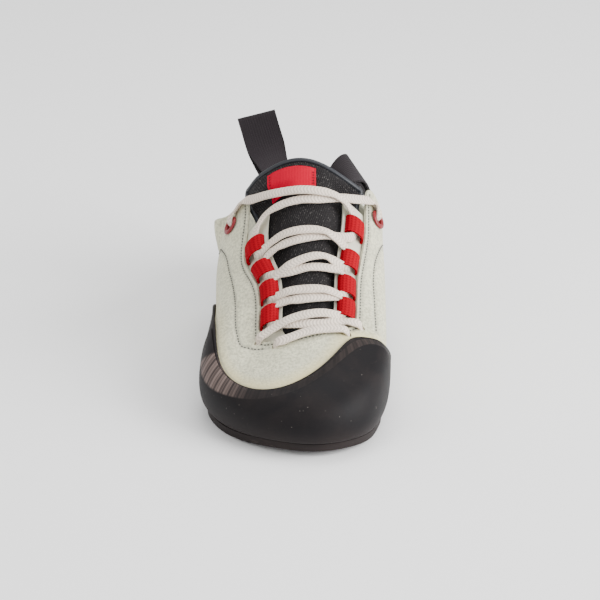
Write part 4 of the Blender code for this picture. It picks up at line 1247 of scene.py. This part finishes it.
def streaks(across, up, points):
    """Grinding marks that run across the bevel, uneven round the shoe."""
    turn = across * 300.0 + 12.0 * up
    wave = np.sin(turn * 0.53) + 0.9 * np.sin(turn * 1.37 + 1.0) + 0.7 * np.sin(turn * 2.9 + 2.0)
    return np.clip(0.5 + 0.30 * wave, 0.0, 1.0)


def low_edge(across, up, points):
    """1 at the floor, fading a little way up the sole's edge."""
    return 1.0 - smooth(0.004, 0.018, points[:, 2])


def sole_plate(name, depth, top_height, bottom_height, chamfer):
    """A closed plate with the last's outline: a band round its side and a grid over each face."""
    half = 200
    across_count = 48

    def ring_turns(share):
        return np.where(share <= 0.5, 2.0 * share * TIP, TIP + (2.0 * share - 1.0) * (len(RIBS) - TIP))

    def outline(turns, inward):
        return layer(turns, 0.0, depth(turns) - inward)

    inwards = chamfer * np.array([0.25, 0.0, 0.0, 0.0, 0.35, 1.0])
    falls = np.array([0.0, 0.05, 0.35, 0.72, 0.93, 1.0])

    def band(share, up):
        step = np.round(up * (len(falls) - 1)).astype(int)
        fall = falls[step]
        points = outline(ring_turns(share), inwards[step])
        high = top_height(points[:, 0], points[:, 1])
        low = bottom_height(points[:, 0], points[:, 1])
        points[:, 2] = high + (low - high) * fall
        return points

    def face(inward, height):
        def place(across, up):
            medial = outline(up * TIP, inward)
            lateral = outline(len(RIBS) - up * (len(RIBS) - TIP), inward)
            points = medial * (1 - across[:, None]) + lateral * across[:, None]
            points[:, 2] = height(points[:, 0], points[:, 1])
            return points

        return place

    readings = {"low_edge": low_edge}
    pieces = [shaped_grid(name, 2 * half, len(falls) - 1, band, (0.66, 0.0045), readings, closed=False)]
    for inward, height in ((inwards[0], top_height), (inwards[-1], bottom_height)):
        place = face(inward, height)
        pieces.append(shaped_grid(name, across_count, half, place, (0.09, 0.26), readings, closed=False))
    piece = joined(pieces)
    close_up(piece, fill=False)
    piece.name = name
    return piece


class SHOE_OT_insole(bpy.types.Operator):
    """The covered insole board inside the upper"""

    bl_idname = "shoe.insole"
    bl_label = "Insole"

    def execute(self, context):
        piece = sole_plate(
            "insole_board",
            lambda turns: np.full_like(turns, -UPPER_WALL - 2 * GAP),
            lambda x, y: seat(x, y) + GAP + INSOLE_WALL,
            lambda x, y: seat(x, y) + GAP,
            0.0004,
        )
        dress(piece, "board", "insole_board", "insole", angle=35.0)
        return {"FINISHED"}


class SHOE_OT_eyestays(bpy.types.Operator):
    """The pale facings inside the throat's edges"""

    bl_idname = "shoe.eyestays"
    bl_label = "Eyestays"

    def execute(self, context):
        for side in (MEDIAL, LATERAL):
            first, last = EYESTAY_SIDES[side]

            def face(depth, side=side, first=first, last=last):
                def place(across, up):
                    turns = first + across * (last - first)
                    edge = topline(turns)
                    hidden = EYESTAY_HIDES * (1 - np.clip(up * 2.0, 0, 1))
                    under = layer(turns, level_below_top(turns, hidden), depth)
                    shows = np.clip(up * 2.0 - 1.0, 0.0, 1.0) * EYESTAY_SHOWS
                    over = instep_point(edge[:, 0] - side * shows, edge[:, 1], depth)
                    return np.where(up[:, None] < 0.5, under, over)

                return place

            outer = -UPPER_WALL - GAP
            faces = face(outer), face(outer - EYESTAY_WALL)
            piece = thick_sheet(f"facing_{SIDE_NAME[side]}", 120, 20, *faces, (0.09, 0.04))
            dress(piece, "facing", "pale_facing", f"eyestay_{SIDE_NAME[side]}")
        return {"FINISHED"}


class SHOE_OT_lace_loops(bpy.types.Operator):
    """The eight red webbing loops that the lace runs through"""

    bl_idname = "shoe.lace_loops"
    bl_label = "Lace loops"

    def execute(self, context):
        for side in (MEDIAL, LATERAL):
            for number, share in enumerate(LOOP_STATIONS[side], 1):
                station = share * LENGTH

                def face(shrink, side=side, station=station):
                    def place(across, up):
                        y = station + (2.0 * up - 1.0) * LOOP_HALF
                        angle = across * math.pi
                        span = 0.5 * LOOP_SPAN
                        reach = span - (span - shrink) * np.cos(angle)
                        lift = (LOOP_HEIGHT - shrink) * np.sin(angle) ** 0.8 - UPPER_WALL
                        x = throat_x(side, y) - side * (GAP + reach)
                        return instep_point(x, y, lift)

                    return place

                name = f"{SIDE_NAME[side]}_{number}"
                faces = face(0.0), face(LOOP_TAPE)
                piece = thick_sheet(f"webbing_loop_{name}", 32, 16, *faces, (0.014, 0.0276))
                dress(piece, "red_tape", "red_tape", f"lace_loop_{name}")
        return {"FINISHED"}


class SHOE_OT_eyelets(bpy.types.Operator):
    """The two red ring eyelets in the top corners of the flaps"""

    bl_idname = "shoe.eyelets"
    bl_label = "Eyelets"

    def execute(self, context):
        for side in (MEDIAL, LATERAL):
            origin, axis, highest = eyelet_place(side)
            first = unit(np.cross(axis, UP))
            second = np.cross(axis, first)
            tube = EYELET_BORE + EYELET_TUBE
            base = highest + EYELET_GAP
            middle = 0.5 * (EYELET_BORE + EYELET_RADIUS)
            profile = [(EYELET_BORE, -UPPER_WALL), (tube, -UPPER_WALL), (tube, base), (EYELET_RADIUS, base)]
            for angle in np.linspace(0.0, math.pi, 9):
                reach = (EYELET_RADIUS - EYELET_BORE) / 2
                height = base + 0.25 * EYELET_FLANGE + 0.95 * EYELET_FLANGE * math.sin(angle)
                profile.append((middle + reach * math.cos(angle), height))
            profile.append(profile[0])

            def place(across, up, rows=np.array(profile), origin=origin, axes=(first, second, axis)):
                radii, heights = rows[np.round(up * (len(rows) - 1)).astype(int)].T[:, :, None]
                angle = across[:, None] * math.tau
                spoke = axes[0] * np.cos(angle) + axes[1] * np.sin(angle)
                return origin + spoke * radii + axes[2] * heights

            name = f"eyelet_ring_{SIDE_NAME[side]}"
            piece = shaped_grid(name, 64, len(profile) - 1, place, (0.03, 0.01), fill=False)
            dress(piece, "enamel", "red_enamel", f"eyelet_{SIDE_NAME[side]}", angle=40.0)
        return {"FINISHED"}


def tongue_lift(x, y):
    """The tongue's upper face, counted from the instep surface."""
    low = -(UPPER_WALL + EYESTAY_WALL + 2 * GAP + TONGUE_SLACK)
    side = np.where(x > RIDGE_X, 1.0, -1.0)
    edge = np.where(side > 0, throat_x(1, y), throat_x(-1, y))
    spread = smooth(TONGUE_SPREADS_FROM, TONGUE_SPREADS_TO, y)
    reach = np.abs(edge - RIDGE_X) + TONGUE_FLARE * spread - EYESTAY_SHOWS * (1.0 - spread)
    flat = TONGUE_FLAT_SHARE + (TONGUE_FLAT_AT_TOP - TONGUE_FLAT_SHARE) * spread
    share = np.abs(x - RIDGE_X) / reach
    share = smooth(0.0, 1.0, (share - flat) / (1.0 - flat))
    risen = smooth(THROAT_START, THROAT_START + TONGUE_ROOT_RISE, y)
    return low + (TONGUE_CROWN - low) * (1.0 - share) * risen


def tongue_plan(across, up):
    """Plan places on the tongue. across runs from -1 to 1, and up from its root to its top edge."""
    top = TONGUE_TOP + TONGUE_SLANT * across + TONGUE_EARS * np.abs(across) ** 4
    y = TONGUE_ROOT + up * (top - TONGUE_ROOT)
    half = TONGUE_ROOT_HALF + up * (TONGUE_TOP_HALF - TONGUE_ROOT_HALF)
    x = RIDGE_X + TONGUE_LEAN * up**2 + across * half
    return x, y


class SHOE_OT_tongue(bpy.types.Operator):
    """The padded knit tongue and its edge binding"""

    bl_idname = "shoe.tongue"
    bl_label = "Tongue"

    def execute(self, context):
        def face(below):
            def place(across, up):
                x, y = tongue_plan(2.0 * across - 1.0, up)
                rim = np.maximum(smooth(0.90, 1.0, np.abs(2.0 * across - 1.0)), smooth(0.965, 1.0, up))
                lift = tongue_lift(x, y) - below - TONGUE_ROUNDING * rim * (1.0 if below == 0.0 else -1.0)
                return instep_point(x, y, lift)

            return place

        piece = thick_sheet("knit_tongue", 110, 150, face(0.0), face(TONGUE_WALL), (0.060, 0.216))
        dress(piece, "knit", "black_textile", "tongue")
        self.build_binding()
        return {"FINISHED"}

    def build_binding(self):
        side_shares = np.linspace(0.70, 0.97, 8)
        outline = [(-1.0, up) for up in side_shares]
        outline += [(across, 1.0) for across in np.linspace(-0.97, 0.97, 25)]
        outline += [(1.0, up) for up in side_shares[::-1]]
        places = np.array(outline)
        x, y = tongue_plan(places[:, 0], places[:, 1])
        middle = instep_point(x, y, tongue_lift(x, y) - TONGUE_WALL / 2)
        facing = instep_normal(x, y)
        path = even_curve(np.concatenate([middle, facing], 1), 0.0008)
        thickness = TONGUE_WALL + 2 * BINDING_STANDS_OUT
        piece = ribbon("tongue_binding", path[:, :3], unit(path[:, 3:]), BINDING_WIDTH, thickness, 18, 0.6)
        dress(piece, "binding", "black_textile")


class SHOE_OT_label(bpy.types.Operator):
    """The bare red cloth label on the tongue, sewn down both sides"""

    bl_idname = "shoe.label"
    bl_label = "Tongue label"

    def execute(self, context):
        middle = RIDGE_X + LABEL_OFF_RIDGE
        top = TONGUE_TOP - LABEL_BELOW_TOP
        length = LABEL_LENGTH * math.cos(INSTEP_ANGLE)

        def on_label(across, up, lift):
            x = middle + (across - 0.5) * LABEL_WIDTH
            y = top - length + up * length + (x - middle) * TONGUE_SLANT / TONGUE_TOP_HALF
            return instep_point(x, y, tongue_lift(x, y) + LABEL_GAP + lift)

        def face(lift):
            def place(across, up):
                dip = 0.00018 * np.exp(-(((np.abs(across - 0.5) - 0.45) / 0.03) ** 2))
                return on_label(across, up, lift - dip)

            return place

        faces = face(LABEL_WALL), face(0.0)
        piece = thick_sheet("label_cloth", 60, 48, *faces, (LABEL_WIDTH, 2 * LABEL_LENGTH))
        dress(piece, "red_label", "red_cloth", "tongue_label")
        lines = []
        for across in (0.05, 0.95):
            ups = np.linspace(0.03, 0.97, 30)
            points = on_label(np.full_like(ups, across), ups, LABEL_WALL)
            normals = instep_normal(np.full_like(ups, middle), top - length + ups * length)
            lines.append(np.concatenate([points, normals], 1))
        piece = sew("label_stitches", lines, LABEL_STITCH_LENGTH, LABEL_STITCH_PITCH, LABEL_THREAD)
        dress(piece, "dark_thread", "red_cloth")
        return {"FINISHED"}


def sew(name, lines, length, pitch, radius, sink=0.3):
    """One mesh of stitches along lines of points and normals."""
    ring, steps, grain = 6, 5, 0.0003
    vertices, faces = [], []
    for line in lines:
        fine = even_curve(line, grain)
        count = max(1, int(len(fine) * grain / pitch))
        for number in range(count):
            start = int(number * pitch / grain)
            stop = min(len(fine) - 1, start + int(length / grain))
            if stop - start < 2:
                continue
            picks = np.linspace(start, stop, steps)
            whole = picks.astype(int)
            points, normals = fine[whole, :3], unit(fine[whole, 3:6])
            along = unit(np.gradient(points, axis=0))
            across = np.cross(along, normals)
            shares = np.linspace(-1.0, 1.0, steps)
            swell = np.sqrt(np.maximum(1.0 - shares**2 * 0.85, 0.0))
            rise = radius * (1.0 - sink - 0.9 * shares**4)
            base = len(vertices)
            for step in range(steps):
                for corner in range(ring):
                    angle = math.tau * corner / ring
                    offset = across[step] * math.cos(angle) + normals[step] * math.sin(angle)
                    middle = points[step] + normals[step] * rise[step]
                    vertices.append(middle + offset * radius * swell[step])
            for step in range(steps - 1):
                for corner in range(ring):
                    a = base + step * ring + corner
                    b = base + step * ring + (corner + 1) % ring
                    faces.append((a, b, b + ring, a + ring))
            faces.append(tuple(base + corner for corner in range(ring))[::-1])
            faces.append(tuple(base + (steps - 1) * ring + corner for corner in range(ring)))
    mesh = bpy.data.meshes.new(name)
    mesh.from_pydata((np.array(vertices) + ORIGIN).tolist(), [], faces)
    piece = bpy.data.objects.new(name, mesh)
    bpy.context.collection.objects.link(piece)
    close_up(piece, fill=False)
    return piece


class SHOE_OT_stitches(bpy.types.Operator):
    """The stitches of the seams in the leather"""

    bl_idname = "shoe.stitches"
    bl_label = "Stitches"

    def execute(self, context):
        lines = []
        for seam in all_seams():
            points = layer(seam[:, 3], seam[:, 4], -SEAM_TROUGH)
            normals = surface_normal(seam[:, 3], seam[:, 4])
            lines.append(np.concatenate([points, normals], 1)[::4])
        piece = sew("upper_stitches", lines, sizes().stitch_length, sizes().stitch_pitch, sizes().thread)
        dress(piece, "thread", "pale_leather")
        return {"FINISHED"}


def strand(places):
    """Points and facings of a strand across the tongue."""
    table = np.array(places)
    points = instep_point(table[:, 0], table[:, 1], table[:, 2])
    return np.concatenate([points, instep_normal(table[:, 0], table[:, 1])], 1)


def through_loop(side, number, up):
    """Points and facings of the lace inside a webbing loop, towards the heel where up is 1."""
    y = LOOP_STATIONS[side][number] * LENGTH + np.array([-0.92, 0.0, 0.92]) * LOOP_HALF * up
    x = throat_x(side, y) - side * (GAP + LOOP_SPAN / 2)
    lift = np.full(3, -UPPER_WALL + 0.0013)
    return np.concatenate([instep_point(x, y, lift), instep_normal(x, y)], 1)


def through_eyelet(side, outwards, ahead):
    """Points and facings of the lace out of an eyelet's bore and over its flange, towards a point ahead."""
    origin, axis, highest = eyelet_place(side)
    inward = unit(ahead - origin)
    inward = unit(inward - axis * np.dot(inward, axis))
    over = highest + EYELET_GAP + EYELET_FLANGE + 0.0010
    rows = []
    for height, reach, lean in (
        (-0.0048, -0.0004, 2.0),
        (-0.0015, 0.0002, 1.6),
        (0.5 * over, 0.0010, 0.9),
        (over, 0.0032, 0.2),
        (over, EYELET_RADIUS + 0.0004, 0.0),
    ):
        rows.append(np.concatenate([origin + axis * height + inward * reach, unit(axis - inward * lean)]))
    return np.array(rows if outwards else rows[::-1])


def over_flap(places):
    """Points and facings of the lace on the leather, at turns, levels and lifts of its middle."""
    table = np.array(places)
    points = layer(table[:, 0], table[:, 1], table[:, 2])
    return np.concatenate([points, surface_normal(table[:, 0], table[:, 1])], 1)


def through_slit(name, outwards, ahead):
    """Points and facings of the lace through a slit in the leather. ahead is the way that it leaves."""
    middle, out, up = slit_way(name)
    ahead = unit(ahead - out * np.dot(ahead, out))
    rows = []
    for height, reach in ((-0.0042, -0.0022), (-0.0008, -0.0006), (0.0016, 0.0018), (0.0019, 0.0045)):
        rows.append(np.concatenate([middle + out * height + ahead * reach, unit(out + ahead * -0.35)]))
    return np.array(rows if outwards else rows[::-1])


def lace_route():
    """The lace from one top eyelet down to the bar and up to the other."""
    right = np.array([1.0, 0.0, 0.0])
    middle = {name: slit_way(name)[0] for name in HOLE_PLACES}
    beneath_medial = 0.5 * (middle["hole_medial"] + middle["bar_medial"]) - UP * LACE_DIPS
    beneath_lateral = 0.5 * (middle["hole_lateral"] + middle["bar_lateral"]) - UP * LACE_DIPS
    bar = (middle["bar_medial"] + middle["bar_lateral"]) / 2
    bar = instep_point(bar[0], bar[1], 0.0020)
    first = strand(UNDER_1)[-1, :3]
    second = strand(OVER_1)[0, :3]
    lateral_flap = over_flap(FLAP_LATERAL)
    medial_flap = over_flap(FLAP_MEDIAL)
    legs = [
        through_eyelet(LATERAL, True, lateral_flap[0, :3]),
        lateral_flap,
        strand(OVER_5),
        through_loop(MEDIAL, 3, -1),
        strand(UNDER_4),
        through_loop(LATERAL, 2, -1),
        strand(UNDER_3),
        through_loop(MEDIAL, 1, -1),
        strand(UNDER_2),
        through_loop(LATERAL, 0, -1),
        strand(UNDER_1),
        through_slit("hole_medial", False, first - middle["hole_medial"]),
        np.concatenate([beneath_medial, UP])[None, :],
        through_slit("bar_medial", True, -right),
        np.concatenate([bar, instep_normal(bar[0], bar[1])])[None, :],
        through_slit("bar_lateral", False, right),
        np.concatenate([beneath_lateral, UP])[None, :],
        through_slit("hole_lateral", True, second - middle["hole_lateral"]),
        strand(OVER_1),
        through_loop(MEDIAL, 0, 1),
        strand(OVER_2),
        through_loop(LATERAL, 1, 1),
        strand(OVER_3),
        through_loop(MEDIAL, 2, 1),
        strand(OVER_4),
        through_loop(LATERAL, 3, 1),
        strand(UNDER_5),
        medial_flap,
        through_eyelet(MEDIAL, False, medial_flap[-1, :3]),
    ]
    return np.concatenate(legs)


class SHOE_OT_lace(bpy.types.Operator):
    """The flat lace, through loops, slits and eyelets"""

    bl_idname = "shoe.lace"
    bl_label = "Lace"

    def execute(self, context):
        route = even_curve(lace_route(), LACE_STEP)
        path, facing = route[:, :3], unit(route[:, 3:])
        facing = self.bank(path, facing)
        piece = ribbon("flat_lace", path, facing, sizes().lace_width, sizes().lace_thickness, 16)
        crossings = [f"lace_cross_{number}" for number in range(1, 6)]
        dress(piece, "lace", "pale_lace", "lace_bar", *crossings)
        return {"FINISHED"}

    def bank(self, path, facing):
        """The facings, leant over where the lace turns in its own plane, as a flat lace does."""
        along, across, out = frames_along(path, facing)
        turning = np.gradient(along, axis=0) / LACE_STEP
        sideways = np.sum(turning * across, axis=1)
        kernel = np.exp(-np.linspace(-2.0, 2.0, 15) ** 2)
        sideways = np.convolve(sideways, kernel / kernel.sum(), mode="same")
        lean = np.clip(np.arctan(sideways * 0.006), -0.9, 0.9)
        return out * np.cos(lean)[:, None] - across * np.sin(lean)[:, None]


def pull_loop_rows(side):
    """The middle of a pull loop's tape, as rows up the inside, round the fold and down the outside."""
    turns = PULL_RIB[side] + np.array(PULL_TURNS[side])
    inside = -UPPER_WALL - PULL_GAP - PULL_TAPE / 2
    outside = PULL_GAP + PULL_TAPE / 2
    base_in = layer(turns, 2.0, inside)
    base_out = layer(turns, 2.0, outside)
    base = 0.5 * (base_in + base_out)
    run = running_length(base)
    shares = 2.0 * run / run[-1] - 1.0
    offsets = [PULL_REACH * np.array([step.x, step.y, step.z]) for step in PULL_WAY[side]]
    middles = blend([base[2]] + [base[2] + offset for offset in offsets], PULL_ROWS)
    across = [unit(base[-1] - base[0])] + [np.array(step.way) for step in PULL_WAY[side]]
    ways = unit(blend(across, PULL_ROWS))
    rises = unit(np.gradient(middles, axis=0))
    backs = unit(np.cross(ways, rises))
    backs *= np.sign(np.dot(backs[0], base_out[2] - base_in[2]))
    half = 0.5 * PULL_WIDTH * shares[:, None]
    going_up, coming_down = [base_in], [base_out]
    for step in range(1, PULL_ROWS):
        near = 1.0 - smooth(0.0, 0.5 * PULL_ROWS, step)
        straight = middles[step] + half * ways[step]
        going_up.append((straight - backs[step] * PULL_FOLD) * (1 - near) + base_in * near)
        coming_down.append((straight + backs[step] * PULL_FOLD) * (1 - near) + base_out * near)
        if 0 < near < 1:
            drift = near * (middles[step] - base[2])
            going_up[-1] = going_up[-1] + drift
            coming_down[-1] = coming_down[-1] + drift
    fold = []
    for angle in np.linspace(0.0, math.pi, 4)[1:-1]:
        turn_back = -backs[-1] * math.cos(angle) + rises[-1] * math.sin(angle)
        fold.append(middles[-1] + half * ways[-1] + turn_back * PULL_FOLD)
    rand = column("rand", turns)
    levels = [rand + (2.0 - rand) * share for share in PULL_ROW_SHARES]
    rows = [layer(turns, level, inside) for level in levels]
    rows += going_up + fold + coming_down[::-1]
    rows += [layer(turns, level, outside) for level in levels[::-1]]
    return np.array(rows)


def blend(points, steps):
    """A smooth path through the points, at even places from the first to the last."""
    points = np.array(points)
    padded = np.concatenate([2 * points[:1] - points[1:2], points, 2 * points[-1:] - points[-2:-1]])
    path = []
    for value in np.linspace(0.0, len(points) - 1.0, steps):
        place = min(int(value), len(points) - 2)
        part = value - place
        a, b, c, d = padded[place : place + 4]
        bend = (2 * a - 5 * b + 4 * c - d) * part**2 + (3 * b - a - 3 * c + d) * part**3
        path.append(0.5 * (2 * b + (c - a) * part + bend))
    return np.array(path)


class SHOE_OT_pull_loops(bpy.types.Operator):
    """The two black webbing pull loops at the back of the collar"""

    bl_idname = "shoe.pull_loops"
    bl_label = "Pull loops"
    step = 0.0006

    def execute(self, context):
        for side in (MEDIAL, LATERAL):
            rows = pull_loop_rows(side)
            lines = [even_curve(rows[:, number], self.step) for number in range(rows.shape[1])]
            steps = max(len(line) for line in lines)
            even = np.stack([self.resample(line, steps) for line in lines], 1)
            wide = np.stack([blend(row, 25) for row in even])
            along = np.gradient(wide, axis=0)
            across = np.gradient(wide, axis=1)
            normal = unit(np.cross(along, across))

            def face(offset, wide=wide, normal=normal):
                def place(share, up):
                    row = np.round(up * (wide.shape[0] - 1)).astype(int)
                    col = np.round(share * (wide.shape[1] - 1)).astype(int)
                    return wide[row, col] + normal[row, col] * offset

                return place

            faces = face(PULL_TAPE / 2), face(-PULL_TAPE / 2)
            size = (PULL_WIDTH, 2 * self.step * steps)
            piece = thick_sheet(f"pull_webbing_{SIDE_NAME[side]}", 24, wide.shape[0] - 1, *faces, size)
            dress(piece, "webbing", "black_webbing", f"pull_loop_{SIDE_NAME[side]}")
        return {"FINISHED"}

    def resample(self, line, steps):
        places = np.linspace(0.0, len(line) - 1.0, steps)
        return np.stack([np.interp(places, np.arange(len(line)), line[:, axis]) for axis in range(3)], -1)


class SHOE_OT_stage(bpy.types.Operator):
    """The pale floor, the soft lights and the camera"""

    bl_idname = "shoe.stage"
    bl_label = "Stage"

    def execute(self, context):
        self.add_floor()
        self.add_lights()
        self.add_camera()
        return {"FINISHED"}

    def add_floor(self):
        deselect_all()
        bpy.ops.mesh.primitive_plane_add(size=6.0, location=(0.0, 0.0, -0.0002))
        floor = bpy.context.object
        floor.name = "floor"
        made = Finish("pale_floor", 0.9, specular=0.1)
        tone = made.noise(3.0, 2.0)
        made.colour(made.mix(tone, (0.90, 0.90, 0.90), (0.92, 0.92, 0.92)))
        floor.data.materials.append(made.material)

    def add_lights(self):
        world = bpy.data.worlds.new("studio")
        bpy.context.scene.world = world
        world.use_nodes = True
        world.node_tree.nodes["Background"].inputs["Color"].default_value = (1.0, 1.0, 1.0, 1.0)
        world.node_tree.nodes["Background"].inputs["Strength"].default_value = studio().surround
        self.add_light("key", (1.42, -0.62, 0.72), 1.3, studio().key_power)
        self.add_light("fill", (-1.0, -0.8, 0.9), 0.9, studio().fill_power)
        self.add_light("top", (0.1, 0.3, 1.5), 1.0, studio().top_power)

    def add_light(self, name, place, size, power):
        lamp = bpy.data.lights.new(name, "AREA")
        lamp.energy = power
        lamp.size = size
        made = bpy.data.objects.new(name, lamp)
        made.location = place
        towards = Vector((0.0, 0.0, 0.05)) - Vector(place)
        made.rotation_euler = towards.to_track_quat("-Z", "Y").to_euler()
        bpy.context.collection.objects.link(made)

    def add_camera(self):
        camera = bpy.data.cameras.new("camera")
        camera.sensor_width = SENSOR
        camera.lens = FOCAL_PIXELS / FRAME_PIXELS * SENSOR
        camera.clip_end = 20.0
        made = bpy.data.objects.new("camera", camera)
        bpy.context.collection.objects.link(made)
        turn = Matrix.Rotation(math.pi / 2 - CAMERA_ELEVATION, 4, "X")
        across = (TOE_PIXEL[0] - FRAME_PIXELS / 2) / FOCAL_PIXELS
        down = (TOE_PIXEL[1] - FRAME_PIXELS / 2) / FOCAL_PIXELS
        ray = turn @ Vector((across, -down, -1.0))
        toe = Vector((ORIGIN[0] + RIDGE_X, ORIGIN[1], TOE_HEIGHT))
        made.matrix_world = Matrix.Translation(toe - ray * CAMERA_DISTANCE) @ turn
        bpy.context.scene.camera = made


PIECES = (
    SHOE_OT_stage,
    SHOE_OT_rubber,
    SHOE_OT_upper,
    SHOE_OT_insole,
    SHOE_OT_eyestays,
    SHOE_OT_lace_loops,
    SHOE_OT_eyelets,
    SHOE_OT_tongue,
    SHOE_OT_label,
    SHOE_OT_lace,
    SHOE_OT_pull_loops,
    SHOE_OT_stitches,
)


class SHOE_PT_panel(bpy.types.Panel):
    """Lists the pieces of the shoe and their settings"""

    bl_idname = "SHOE_PT_panel"
    bl_label = "Climbing Shoe"
    bl_space_type = "VIEW_3D"
    bl_region_type = "UI"
    bl_category = "Shoe"

    def draw(self, context):
        for group in (context.scene.shoe_sizes, context.scene.shoe_colours, context.scene.shoe_studio):
            box = self.layout.box()
            for name in group.__annotations__:
                box.prop(group, name)
        for piece in PIECES:
            self.layout.operator(piece.bl_idname)


CLASSES = (ShoeSizes, ShoeColours, StudioSettings, *PIECES, SHOE_PT_panel)


def register():
    for made in CLASSES:
        bpy.utils.register_class(made)
    bpy.types.Scene.shoe_sizes = PointerProperty(type=ShoeSizes)
    bpy.types.Scene.shoe_colours = PointerProperty(type=ShoeColours)
    bpy.types.Scene.shoe_studio = PointerProperty(type=StudioSettings)


def unregister():
    del bpy.types.Scene.shoe_studio
    del bpy.types.Scene.shoe_colours
    del bpy.types.Scene.shoe_sizes
    for made in reversed(CLASSES):
        bpy.utils.unregister_class(made)


def main():
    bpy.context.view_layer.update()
    register()
    for piece in PIECES:
        group, name = piece.bl_idname.split(".")
        getattr(getattr(bpy.ops, group), name)()


if __name__ == "__main__":
    main()
